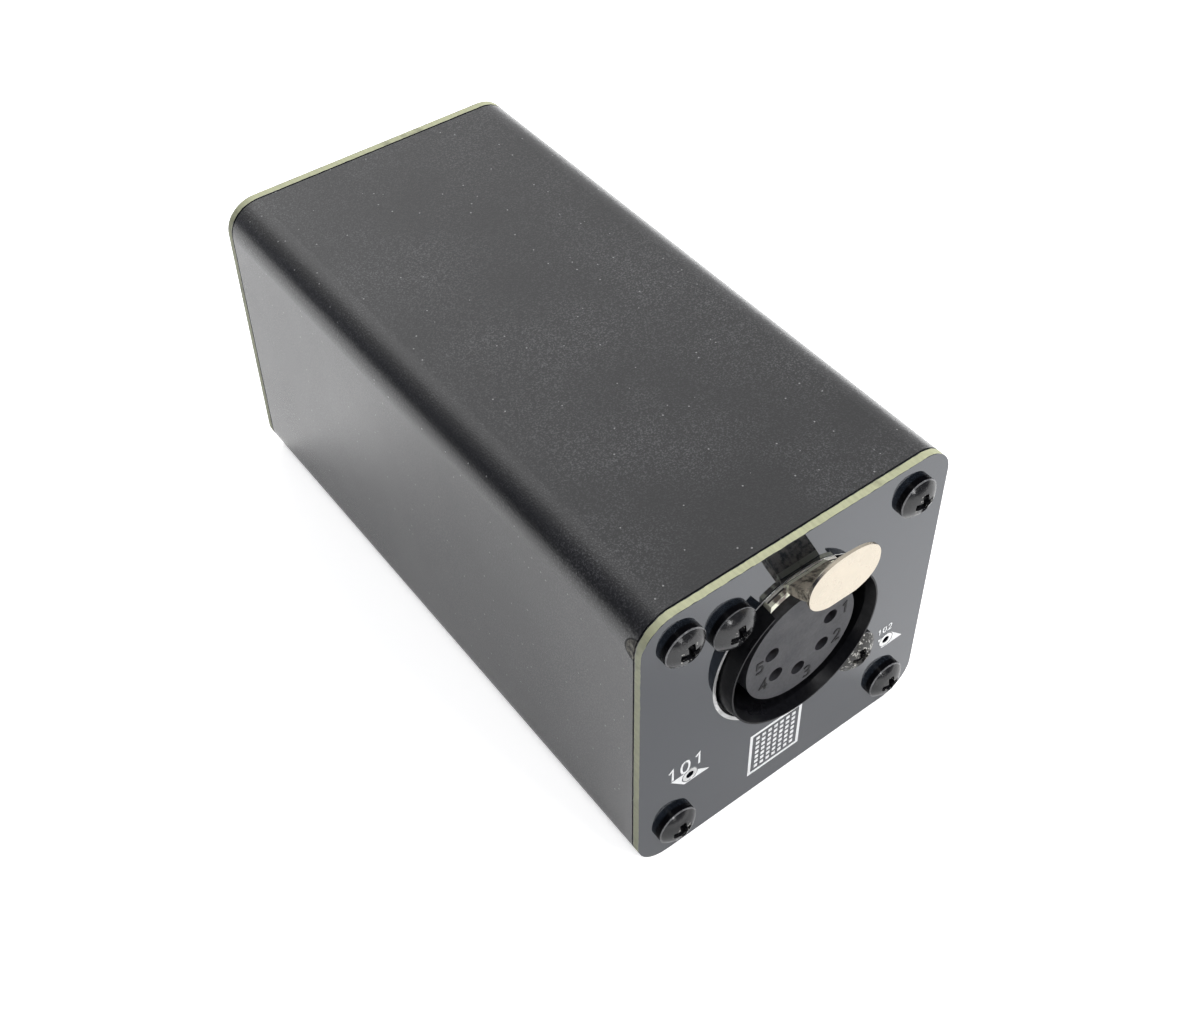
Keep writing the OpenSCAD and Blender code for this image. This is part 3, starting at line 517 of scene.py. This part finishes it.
def new_piece(name, points, faces, material, body, slot, smooth=True):
    """Make a mesh piece from arrays and ride it on a body. The slot argument is not used."""
    mesh = bpy.data.meshes.new(name)
    mesh.from_pydata(points.reshape(-1, 3).tolist(), [], [list(face) for face in faces])
    mesh.validate()
    mesh.polygons.foreach_set("use_smooth", [smooth] * len(mesh.polygons))
    mesh.materials.append(material)
    piece = bpy.data.objects.new(name, mesh)
    bpy.context.scene.collection.objects.link(piece)
    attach(piece, body)
    return piece


def grid_faces(rows, columns, close_rows=False):
    """Quads of a grid of points, wrapped round along its rows, and along both if asked."""
    i = np.arange(rows if close_rows else rows - 1)[:, None]
    j = np.arange(columns)[None, :]
    a = i * columns + j
    b = i * columns + (j + 1) % columns
    c = ((i + 1) % rows) * columns + (j + 1) % columns
    d = ((i + 1) % rows) * columns + j
    return np.stack([a, b, c, d], -1).reshape(-1, 4).tolist()


def at_depth(outline, y):
    """Points of an outline in X and Z, all at one Y."""
    return np.stack([outline[:, 0], np.full(len(outline), y), outline[:, 1]], -1)


def slab_ring(inner, outer, y_back, y_front):
    """Closed flat ring between two closed outlines of like point counts in X and Z.

    The section runs inner front, outer front, outer back, inner back, and each of its
    four points is carried round its outline.
    """
    loops = [
        at_depth(inner, y_front), at_depth(outer, y_front),
        at_depth(outer, y_back), at_depth(inner, y_back),
    ]
    points = np.stack(loops)
    return points, grid_faces(4, len(inner), close_rows=True)


def ring_points(centre, radius, angle):
    """Points at a radius about a centre in X and Z, one at each angle."""
    return np.array(centre) + radius * np.stack([np.cos(angle), np.sin(angle)], -1)


def circle(centre, radius, count):
    """Points of a circle, anticlockwise in X and Z."""
    return ring_points(centre, radius, np.linspace(0, 2 * math.pi, count, endpoint=False))


def coil(centre, radius, wire, low, high, turns, rings=100, sides=12):
    """Round wire on a helix about an upright axis, closed at both ends.

    The wire's middle line lies at centre + radius (cos t, sin t), and its height rises
    evenly from low to high over the turns. Each ring of the wire has the points
    wire (cos a, sin a) outwards and upwards of it.
    """
    t = np.linspace(0, 2 * math.pi * turns, rings)[:, None]
    a = np.linspace(0, 2 * math.pi, sides, endpoint=False)[None, :]
    reach = radius + wire * np.cos(a)
    height = low + (high - low) * t / t[-1] + wire * np.sin(a)
    points = np.stack([centre[0] + reach * np.cos(t), centre[1] + reach * np.sin(t), height], -1)
    faces = grid_faces(rings, sides)
    last = (rings - 1) * sides
    faces.append(list(range(sides)))
    faces.append([last + side for side in reversed(range(sides))])
    return points, faces


def outline_by_angle(centre, corners, count):
    """Where rays from the centre meet a convex outline, with the rays' angles.

    The angles are even, but the nearest one to each corner is turned to that corner.
    For each ray the distance is the least positive one to the sides' lines.
    """
    angle = np.linspace(0, 2 * math.pi, count, endpoint=False)
    for corner in corners:
        turn = math.atan2(corner[1] - centre[1], corner[0] - centre[0]) % (2 * math.pi)
        angle[np.argmin(np.abs(angle - turn))] = turn
    ray = np.stack([np.cos(angle), np.sin(angle)], -1)
    start = np.array(corners, float)
    side = np.roll(start, -1, axis=0) - start
    normal = np.stack([side[:, 1], -side[:, 0]], -1)
    reach = np.einsum("kd,kd->k", normal, start - np.array(centre))
    along = ray @ normal.T
    meets = along * np.sign(reach) > 1e-12
    distance = np.where(meets, reach / np.where(along == 0, 1e-12, along), 1e9)
    return np.array(centre) + ray * distance.min(axis=1)[:, None], angle


# Paths of the figures, each in a box about 0.9 wide and 1 high
DIGIT_STROKES = {
    "0": [[(0.45, 1.0), (0.72, 0.90), (0.82, 0.64), (0.82, 0.36), (0.72, 0.10), (0.45, 0.0),
           (0.18, 0.10), (0.08, 0.36), (0.08, 0.64), (0.18, 0.90), (0.45, 1.0)]],
    "1": [[(0.18, 0.78), (0.52, 1.0), (0.52, 0.0)]],
    "2": [[(0.08, 0.76), (0.20, 0.94), (0.45, 1.0), (0.70, 0.92), (0.78, 0.72), (0.66, 0.50),
           (0.36, 0.24), (0.06, 0.0), (0.82, 0.0)]],
    "3": [[(0.08, 0.90), (0.40, 1.0), (0.70, 0.90), (0.74, 0.70), (0.60, 0.56), (0.36, 0.53),
           (0.64, 0.48), (0.80, 0.28), (0.66, 0.07), (0.38, 0.0), (0.06, 0.10)]],
    "4": [[(0.60, 0.0), (0.60, 1.0), (0.02, 0.30), (0.84, 0.30)]],
    "5": [[(0.76, 1.0), (0.16, 1.0), (0.12, 0.56), (0.40, 0.62), (0.68, 0.54), (0.80, 0.32),
           (0.68, 0.09), (0.38, 0.0), (0.06, 0.08)]],
}


def stroke(path, width, y_back, y_front):
    """Flat ribbon along a path in X and Z, mitred at its bends, with a flat back.

    Each path point gets a section of four: left and right at the front, right and left
    at the back. Left and right lie half a width off along the mitre.
    """
    path = np.array(path, float)
    step = np.diff(path, axis=0)
    step /= np.linalg.norm(step, axis=1)[:, None]
    before = np.vstack([step[:1], step])
    after = np.vstack([step, step[-1:]])
    mitre = before + after
    mitre /= np.linalg.norm(mitre, axis=1)[:, None]
    side = np.stack([-mitre[:, 1], mitre[:, 0]], -1)
    reach = width / 2 / np.clip(np.einsum("ij,ij->i", mitre, before), 0.55, 1)
    left = path + side * reach[:, None]
    right = path - side * reach[:, None]
    sections = [
        at_depth(left, y_front), at_depth(right, y_front),
        at_depth(right, y_back), at_depth(left, y_back),
    ]
    points = np.stack(sections, 1)
    faces = grid_faces(len(path), 4)
    last = 4 * (len(path) - 1)
    faces += [[3, 2, 1, 0], [last, last + 1, last + 2, last + 3]]
    return points.reshape(-1, 3), faces


def join_shapes(shapes):
    """Put several point arrays and face lists into one."""
    points, faces, offset = [], [], 0
    for shape_points, shape_faces in shapes:
        flat = shape_points.reshape(-1, 3)
        points.append(flat)
        faces += [[index + offset for index in face] for face in shape_faces]
        offset += len(flat)
    return np.vstack(points), faces


def square(centre, half):
    """Corners of a square about a centre, anticlockwise, in its two coordinates."""
    signs = np.array(((-1, -1), (1, -1), (1, 1), (-1, 1)))
    return np.array(centre) + half * signs


def tile(centre, half, y_back, y_front):
    """Small square box."""
    corners = square(centre, half)
    points = np.array([(x, y, z) for y in (y_front, y_back) for x, z in corners])
    return points, [[0, 1, 2, 3], [7, 6, 5, 4]] + grid_faces(2, 4)


def number(signs, centre, height, width, y_back, y_front):
    """A row of figures about a centre."""
    shapes = []
    for place, sign in enumerate(signs):
        x = centre[0] + (place - (len(signs) - 1) / 2) * FIGURE_STEP * height
        shapes += digit(sign, (x, centre[1]), height, width, y_back, y_front)
    return shapes


def digit(sign, centre, height, width, y_back, y_front):
    """Strokes of one figure about a centre in X and Z."""
    scale = np.array((FIGURE_WIDTH * height, height))
    shapes = []
    for path in DIGIT_STROKES[sign]:
        placed = np.array(centre) + (np.array(path) - FIGURE_MIDDLE) * scale
        shapes.append(stroke(placed, width, y_back, y_front))
    return shapes


def slanted_mark(centre, top, foot, sizes, y_back, y_front):
    """Slanted four-sided mark about a hole's pad, with a round gap left about the pad.

    Top and foot are where its upper and lower sides start and end, right of the hole.
    Where a side comes nearer than the gap the mark has no width.
    """
    high = centre[1] + MARK_RISE
    low = high - sizes.mark_height
    corners = [
        (centre[0] + foot[0], low), (centre[0] + foot[1], low),
        (centre[0] + top[1], high), (centre[0] + top[0], high),
    ]
    edge, angle = outline_by_angle(centre, corners, MARK_POINTS)
    reach = PAD_GAP * sizes.pad_radius
    gap = ring_points(centre, reach, angle)
    outside = np.linalg.norm(edge - centre, axis=1)[:, None] > reach
    return slab_ring(gap, np.where(outside, edge, gap), y_back, y_front)


def dot_grid(middle, half, y_back, y_front):
    """Square frame with rows of small square dots in it."""
    frame_inside = square(middle, half - GRID_FRAME)
    tiles = [slab_ring(frame_inside, square(middle, half), y_back, y_front)]
    pitch = 2 * (half - GRID_MARGIN) / GRID_COUNT
    for column in range(GRID_COUNT):
        for row in range(GRID_COUNT):
            place = [m + (n + 0.5 - GRID_COUNT / 2) * pitch for m, n in zip(middle, (column, row))]
            tiles.append(tile(place, DOT_SHARE * pitch, y_back, y_front))
    return tiles


def outward(piece):
    """Turn every face of a closed piece outwards."""
    mesh = bmesh.new()
    mesh.from_mesh(piece.data)
    bmesh.ops.recalc_face_normals(mesh, faces=mesh.faces)
    mesh.to_mesh(piece.data)
    mesh.free()


class NodeColours(PropertyGroup):
    """Colours a user would change, as linear light."""

    case: FloatVectorProperty(
        name="Case", description="Anodised tube",
        subtype="COLOR", default=(0.0180, 0.0182, 0.0200),
    )
    coating: FloatVectorProperty(
        name="Coating", description="Coating of the end plates",
        subtype="COLOR", default=(0.010, 0.0125, 0.017),
    )
    bare_edge: FloatVectorProperty(
        name="Bare edge", description="Sawn edge of the end plates",
        subtype="COLOR", default=(0.44, 0.45, 0.28),
    )
    print_ink: FloatVectorProperty(
        name="Print", description="Ink of the marks",
        subtype="COLOR", default=(0.86, 0.87, 0.87),
    )
    plating: FloatVectorProperty(
        name="Plating", description="Plated rings on the plate",
        subtype="COLOR", default=(0.92, 0.92, 0.91),
    )
    screw: FloatVectorProperty(
        name="Screws", description="Black plating of the screws",
        subtype="COLOR", default=(0.014, 0.014, 0.015),
    )
    socket: FloatVectorProperty(
        name="Socket", description="Black socket moulding",
        subtype="COLOR", default=(0.0035, 0.0035, 0.0045),
    )
    carrier: FloatVectorProperty(
        name="Carrier", description="Grey contact carrier",
        subtype="COLOR", default=(0.030, 0.030, 0.034),
    )
    latch: FloatVectorProperty(
        name="Latch", description="Nickel of the latch",
        subtype="COLOR", default=(0.74, 0.665, 0.545),
    )
    tin: FloatVectorProperty(
        name="Tin", description="Tinned sheet",
        subtype="COLOR", default=(0.68, 0.68, 0.66),
    )
    gold: FloatVectorProperty(
        name="Gold", description="Gold-plated contacts",
        subtype="COLOR", default=(0.80, 0.58, 0.25),
    )
    inner_board: FloatVectorProperty(
        name="Main board", description="Coating of the main board",
        subtype="COLOR", default=(0.015, 0.07, 0.03),
    )


class NodeSizes(PropertyGroup):
    """Sizes of the print, the plated rings and the numbers."""

    ring_inner: FloatProperty(
        name="Ring, inner radius", description="Plated ring round the socket",
        default=11.0 * MM, unit="LENGTH", precision=5,
    )
    ring_outer: FloatProperty(
        name="Ring, outer radius", description="Plated ring round the socket",
        default=11.28 * MM, unit="LENGTH", precision=5,
    )
    ring_drop: FloatProperty(
        name="Ring, offset", description="How far the ring's outer edge is off to the lower left",
        default=0.12 * MM, unit="LENGTH", precision=5,
    )
    print_height: FloatProperty(
        name="Print thickness", description="How far the print stands proud of the plate",
        default=0.02 * MM, unit="LENGTH", precision=5,
    )
    pad_radius: FloatProperty(
        name="Pad radius", description="Plated pad round each small hole",
        default=1.0 * MM, unit="LENGTH", precision=5,
    )
    pad_hole: FloatProperty(
        name="Pad hole", description="Radius of the hole in the pad",
        default=0.52 * MM, unit="LENGTH", precision=5,
    )
    mark_height: FloatProperty(
        name="Mark height", description="Height of the slanted marks",
        default=2.06 * MM, unit="LENGTH", precision=5,
    )
    grid_half: FloatProperty(
        name="Grid, half width", description="Half the width of the printed dot grid",
        default=3.9 * MM, unit="LENGTH", precision=5,
    )
    number_height: FloatProperty(
        name="Number height", description="Height of the moulded contact numbers",
        default=1.7 * MM, unit="LENGTH", precision=5,
    )
    number_rise: FloatProperty(
        name="Number rise", description="How far the contact numbers stand proud",
        default=0.06 * MM, unit="LENGTH", precision=5,
    )


class NODE_OT_case(Operator):
    """Finish the extruded case"""

    bl_idname = "network_node.case"
    bl_label = "Case"

    def execute(self, context):
        low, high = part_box("tube")
        reach = CORNER_RADIUS + NICK_OUT
        worn_place = (low.x + CORNER_RADIUS - reach * math.cos(NICK_TURN), low.y,
                      high.z - CORNER_RADIUS + reach * math.sin(NICK_TURN))
        dress("tube", anodised("case_black", context.scene.node_colours.case, worn_place))
        return {"FINISHED"}


class NODE_OT_plates(Operator):
    """Finish the two end plates and add the plated ring, pads and print in front"""

    bl_idname = "network_node.plates"
    bl_label = "End plates"

    def execute(self, context):
        colours, sizes = context.scene.node_colours, context.scene.node_sizes
        corner = (PLATE_HIGH.x, PLATE_HIGH.z / 2, CORNER_RADIUS)
        middle_y = abs(PLATE_LOW.y + PLATE_HIGH.y) / 2
        core = (middle_y, BARE_SHARE * (PLATE_HIGH.y - PLATE_LOW.y) / 2)
        plate = board("plate_board", colours.coating, colours.bare_edge, "Y", corner, core)
        for node in ("front_plate", "rear_plate"):
            dress(node, plate)
        plating = metal("plating", colours.plating, 0.22, grain=700, spread=0.1, depth=0.004,
                        sheen=0.6)
        ink = printed("print_white", colours.print_ink)
        y_front = PLATE_Y - sizes.print_height
        y_back = PLATE_Y + PRINT_SUNK

        drop = sizes.ring_drop
        inner = circle((0, SOCKET_Z), sizes.ring_inner, RING_POINTS)
        outer = circle((-drop, SOCKET_Z - drop), sizes.ring_outer, RING_POINTS)
        ring = slab_ring(inner, outer, y_back, y_front)
        outward(new_piece("plated_ring", *ring, plating, "case", "tin_sheet", smooth=False))

        light, button = (LIGHT_X, LIGHT_Z), (BUTTON_X, BUTTON_Z)
        pads = []
        for centre in (light, button):
            hole = circle(centre, sizes.pad_hole, PAD_POINTS)
            pads.append(slab_ring(hole, circle(centre, sizes.pad_radius, PAD_POINTS),
                                  y_back, y_front))
        marks = [
            slanted_mark(light, LIGHT_MARK_TOP, LIGHT_MARK_FOOT, sizes, y_back, y_front),
            slanted_mark(button, BUTTON_MARK_TOP, BUTTON_MARK_FOOT, sizes, y_back, y_front),
        ]
        outward(new_piece("hole_pads", *join_shapes(pads), plating, "case", "tin_sheet",
                          smooth=False))
        outward(new_piece("hole_marks", *join_shapes(marks), ink, "case", "plate_board",
                          smooth=False))

        numbers = []
        for signs, hole, (right, up, height, width) in (
            ("101", light, LIGHT_NUMBER), ("102", button, BUTTON_NUMBER),
        ):
            place = (hole[0] + right, hole[1] + up)
            numbers += number(signs, place, height, width, y_back, y_front)
        outward(new_piece("printed_numbers", *join_shapes(numbers), ink, "case", "plate_board",
                          smooth=False))
        grid = dot_grid((GRID_X, GRID_Z), sizes.grid_half, y_back, y_front)
        outward(new_piece("printed_grid", *join_shapes(grid), ink, "case", "plate_board",
                          smooth=False))
        return {"FINISHED"}


class NODE_OT_screws(Operator):
    """Finish the case screws and the socket screws"""

    bl_idname = "network_node.screws"
    bl_label = "Screws"

    def execute(self, context):
        worn_place = (SOCKET_SCREW_X, PLATE_Y, SOCKET_Z - SOCKET_SCREW_X)
        low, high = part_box("front_screws")
        inset = CASE_HEAD_RADIUS
        recess_y = low.y + RECESS_DEPTH
        recesses = [
            (side * (high.x - inset), recess_y, height)
            for side in (-1, 1) for height in (low.z + inset, high.z - inset)
        ]
        recesses += [
            (side * SOCKET_SCREW_X, recess_y, SOCKET_Z - side * SOCKET_SCREW_X)
            for side in (-1, 1)
        ]
        colour = context.scene.node_colours.screw
        black = black_screw("screw_black", colour, worn_place, recesses)
        for node in ("front_screws", "rear_screws", "socket_screws"):
            dress(node, black)
        return {"FINISHED"}


class NODE_OT_socket(Operator):
    """Finish the round socket and add its moulded contact numbers"""

    bl_idname = "network_node.socket"
    bl_label = "Socket"

    def execute(self, context):
        colours, sizes = context.scene.node_colours, context.scene.node_sizes
        black = moulded("moulding_black", colours.socket, 0.32, ior=1.36, shine=0.25)
        dress("socket_housing", black)
        grey = moulded("moulding_grey", colours.carrier, 0.46, grain=2600, depth=0.02, ior=1.42)
        dress("contact_carrier", grey)
        dress("socket_contacts", metal("contact_gold", colours.gold, 0.25))
        dress("latch_pin", metal("pin_steel", colours.tin, 0.2))
        shapes = []
        for sign, (x, z) in CONTACT_PLACES.items():
            shapes += digit(sign, (x * MM, SOCKET_Z + z * MM), sizes.number_height,
                            CONTACT_STROKE, CARRIER_Y + CONTACT_SUNK,
                            CARRIER_Y - sizes.number_rise)
        # The numbers' near-black colour is painted shade, in place of the shade in figures moulded
        # into the grey carrier.
        dark = moulded("number_painted_shade", [c * 0.12 for c in colours.carrier], 0.6)
        outward(new_piece("contact_numbers", *join_shapes(shapes), dark, "case",
                          "moulding_grey", smooth=False))
        return {"FINISHED"}


class NODE_OT_spring(Operator):
    """Wind the latch's return spring"""

    bl_idname = "network_node.spring"
    bl_label = "Spring"

    def execute(self, context):
        middle = (SPRING_LOW + SPRING_HIGH) / 2
        radius = (SPRING_HIGH.x - SPRING_LOW.x) / 2 - SPRING_WIRE
        low, high = SPRING_LOW.z + SPRING_WIRE, SPRING_HIGH.z - SPRING_WIRE
        points, faces = coil((middle.x, middle.y), radius, SPRING_WIRE, low, high, SPRING_TURNS)
        steel = metal("spring_wire", context.scene.node_colours.tin, 0.25)
        spring = new_piece("return_spring", points, faces, steel, "case", "steel")
        outward(spring)
        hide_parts("latch_spring")
        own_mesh(spring)
        return {"FINISHED"}


class NODE_OT_latch(Operator):
    """Finish the push latch"""

    bl_idname = "network_node.latch"
    bl_label = "Latch"

    def execute(self, context):
        dress("socket_latch", latch_metal("latch_nickel", context.scene.node_colours.latch))
        return {"FINISHED"}


class NODE_OT_sockets_behind(Operator):
    """Finish the network jack and the power socket"""

    bl_idname = "network_node.sockets_behind"
    bl_label = "Rear sockets"

    def execute(self, context):
        colours = context.scene.node_colours
        tin = metal("tin_sheet", colours.tin, 0.28, grain=600, spread=0.1, stretch=(1, 0.1, 1))
        black = moulded("socket_inside", colours.socket, 0.45)
        for node in ("jack_shield", "usb_shell", "switch_cover"):
            dress(node, tin)
        for node in ("jack_body", "usb_tongue", "switch_body", "switch_plunger"):
            dress(node, black)
        dress("jack_contacts", metal("jack_gold", colours.gold, 0.22))
        clear = lens("clear_lens", (0.72, 0.76, 0.66))
        for node in ("jack_lights", "signal_light"):
            dress(node, clear)
        return {"FINISHED"}


class NODE_OT_electronics(Operator):
    """Finish the main board and the parts on it"""

    bl_idname = "network_node.electronics"
    bl_label = "Main board"

    def execute(self, context):
        colours = context.scene.node_colours
        dress("main_board", board("board_green", colours.inner_board, colours.bare_edge, "Z"))
        package = moulded("chip_black", (0.016, 0.016, 0.018), 0.5)
        for node in (
            "controller_chip", "network_chip", "network_transformer", "bus_driver",
            "isolated_supply", "regulator", "service_header",
        ):
            dress(node, package)
        ferrite = moulded("ferrite", (0.11, 0.105, 0.10), 0.6)
        for node in ("power_inductor", "small_parts"):
            dress(node, ferrite)
        can = metal("can_metal", colours.tin, 0.3)
        for node in ("capacitors", "crystal"):
            dress(node, can)
        return {"FINISHED"}


class NODE_OT_stage(Operator):
    """Set up the floor, the lamps, the world and the camera"""

    bl_idname = "network_node.stage"
    bl_label = "Stage"

    def execute(self, context):
        add_floor()
        add_lamps()
        add_world()
        add_camera()
        return {"FINISHED"}


def add_floor():
    """Wide white floor that keeps the shadow. It glows for the camera, and a little for gloss."""
    corners = [(x, y, 0.0) for x, y in square((0, 0), FLOOR_HALF).tolist()]
    mesh = bpy.data.meshes.new("floor")
    mesh.from_pydata(corners, [], [(0, 1, 2, 3)])
    floor = bpy.data.objects.new("floor", mesh)
    bpy.context.scene.collection.objects.link(floor)
    paint = bpy.data.materials.new("floor_white")
    paint.use_nodes = True
    shader = paint.node_tree.nodes["Principled BSDF"]
    shader.inputs["Base Color"].default_value = (0.86, 0.86, 0.86, 1)
    shader.inputs["Roughness"].default_value = 0.9
    shader.inputs["Specular IOR Level"].default_value = 0.0
    mesh.materials.append(paint)
    tree = paint.node_tree
    glow = tree.nodes.new("ShaderNodeEmission")
    both = tree.nodes.new("ShaderNodeAddShader")
    bright = scaled(tree, rays(tree, ("Is Camera Ray", "Is Transmission Ray")), FLOOR_GLOW)
    fainter = scaled(tree, rays(tree, ("Is Glossy Ray",)), FLOOR_GLOSS)
    strength = tree.nodes.new("ShaderNodeMath")
    strength.operation = "MAXIMUM"
    tree.links.new(bright, strength.inputs[0])
    tree.links.new(fainter, strength.inputs[1])
    tree.links.new(strength.outputs[0], glow.inputs["Strength"])
    tree.links.new(shader.outputs[0], both.inputs[0])
    tree.links.new(glow.outputs[0], both.inputs[1])
    tree.links.new(both.outputs[0], tree.nodes["Material Output"].inputs["Surface"])


def scaled(tree, value, factor):
    """A value times a number."""
    node = tree.nodes.new("ShaderNodeMath")
    node.operation = "MULTIPLY"
    node.inputs[1].default_value = factor
    tree.links.new(value, node.inputs[0])
    return node.outputs[0]


def ranged(tree, value, from_low, from_high, to_low, to_high):
    """A value carried from one range to another and clamped there."""
    node = tree.nodes.new("ShaderNodeMapRange")
    numbers = {"From Min": from_low, "From Max": from_high, "To Min": to_low, "To Max": to_high}
    for name, number in numbers.items():
        node.inputs[name].default_value = number
    tree.links.new(value, node.inputs["Value"])
    return node.outputs["Result"]


def rays(tree, kinds):
    """One for rays of these kinds, none for others."""
    path = tree.nodes.new("ShaderNodeLightPath")
    total = path.outputs[kinds[0]]
    for kind in kinds[1:]:
        add = tree.nodes.new("ShaderNodeMath")
        add.operation = "ADD"
        add.use_clamp = True
        tree.links.new(total, add.inputs[0])
        tree.links.new(path.outputs[kind], add.inputs[1])
        total = add.outputs[0]
    return total


def add_area_lamp(name, place, size, power):
    """Square soft lamp that points at the origin."""
    data = bpy.data.lights.new(name, "AREA")
    data.shape = "SQUARE"
    data.size = size
    data.energy = power
    lamp = bpy.data.objects.new(name, data)
    bpy.context.scene.collection.objects.link(lamp)
    away = np.array(place, float)
    away /= np.linalg.norm(away)
    right = np.cross((0, 0, 1), away)
    right /= np.linalg.norm(right)
    up = np.cross(away, right)
    turn = np.eye(4)
    turn[:3, 0], turn[:3, 1], turn[:3, 2], turn[:3, 3] = right, up, away, place
    lamp.matrix_world = Matrix(turn.tolist())
    return lamp


def add_lamps():
    """The soft lamps of the studio."""
    for name, place, size, power, in_gloss in LAMPS:
        add_area_lamp(name, place, size, power).visible_glossy = in_gloss


def add_world():
    """Room light: white on the open side, high up and back right, and dim low on the left.

    How light a direction is follows from how near it is to the open side's direction,
    as the cosine of the angle between them. Camera rays see plain white.
    """
    world = bpy.data.worlds.new("studio")
    bpy.context.scene.world = world
    world.use_nodes = True
    tree = world.node_tree
    room = tree.nodes["Background"]
    room.inputs["Color"].default_value = (1, 1, 1, 1)
    white = tree.nodes.new("ShaderNodeBackground")
    white.inputs["Color"].default_value = (1, 1, 1, 1)
    coordinate = tree.nodes.new("ShaderNodeTexCoord")
    near = tree.nodes.new("ShaderNodeVectorMath")
    near.operation = "DOT_PRODUCT"
    near.inputs[1].default_value = OPEN_SIDE
    tree.links.new(coordinate.outputs["Generated"], near.inputs[0])
    brightness = ranged(tree, near.outputs["Value"], OPEN_FROM, 1.0, ROOM_DIM, ROOM_WHITE)
    tree.links.new(brightness, room.inputs["Strength"])
    tint = tree.nodes.new("ShaderNodeMix")
    tint.data_type = "RGBA"
    tint.inputs[6].default_value = (*ROOM_DIM_COLOUR, 1)
    tint.inputs[7].default_value = (1, 1, 1, 1)
    whiteness = ranged(tree, near.outputs["Value"], OPEN_FROM, WHITE_FROM, 0.0, 1.0)
    tree.links.new(whiteness, tint.inputs["Factor"])
    tree.links.new(tint.outputs[2], room.inputs["Color"])
    choice = tree.nodes.new("ShaderNodeMixShader")
    tree.links.new(rays(tree, ("Is Camera Ray", "Is Transmission Ray")), choice.inputs[0])
    tree.links.new(room.outputs[0], choice.inputs[1])
    tree.links.new(white.outputs[0], choice.inputs[2])
    tree.links.new(choice.outputs[0], tree.nodes["World Output"].inputs["Surface"])


def add_camera():
    """Camera at the photograph's place, with the lens and shift that its frame needs."""
    data = bpy.data.cameras.new("photo_camera")
    data.sensor_fit = "HORIZONTAL"
    data.sensor_width = 36
    data.lens = FOCAL_PX / IMAGE_SIZE[0] * data.sensor_width
    data.shift_x = (IMAGE_SIZE[0] / 2 - CENTRE_PX[0]) / IMAGE_SIZE[0]
    data.shift_y = (CENTRE_PX[1] - IMAGE_SIZE[1] / 2) / IMAGE_SIZE[0]
    data.clip_start = 0.01
    camera = bpy.data.objects.new("photo_camera", data)
    camera.location = CAMERA_PLACE
    camera.rotation_euler = [math.radians(angle) for angle in CAMERA_TURN_DEG]
    bpy.context.scene.collection.objects.link(camera)
    bpy.context.scene.camera = camera
    bpy.context.scene.view_settings.view_transform = "Standard"


class NODE_PT_looks(Panel):
    """Lists the steps and the settings"""

    bl_label = "Network Node"
    bl_idname = "NODE_PT_looks"
    bl_space_type = "VIEW_3D"
    bl_region_type = "UI"
    bl_category = "Network Node"

    def draw(self, context):
        for operator in OPERATORS:
            self.layout.operator(operator.bl_idname)
        for settings in (context.scene.node_colours, context.scene.node_sizes):
            for name in settings.bl_rna.properties.keys():
                if name not in ("rna_type", "name"):
                    self.layout.prop(settings, name)


OPERATORS = (
    NODE_OT_stage, NODE_OT_case, NODE_OT_plates, NODE_OT_screws, NODE_OT_socket,
    NODE_OT_latch, NODE_OT_spring, NODE_OT_sockets_behind, NODE_OT_electronics,
)
CLASSES = (NodeColours, NodeSizes, *OPERATORS, NODE_PT_looks)


def register():
    for entry in CLASSES:
        bpy.utils.register_class(entry)
    bpy.types.Scene.node_colours = PointerProperty(type=NodeColours)
    bpy.types.Scene.node_sizes = PointerProperty(type=NodeSizes)


def unregister():
    del bpy.types.Scene.node_sizes
    del bpy.types.Scene.node_colours
    for entry in reversed(CLASSES):
        bpy.utils.unregister_class(entry)


def main():
    register()
    for operator in OPERATORS:
        group, name = operator.bl_idname.split(".")
        getattr(getattr(bpy.ops, group), name)()


if __name__ == "__main__":
    main()
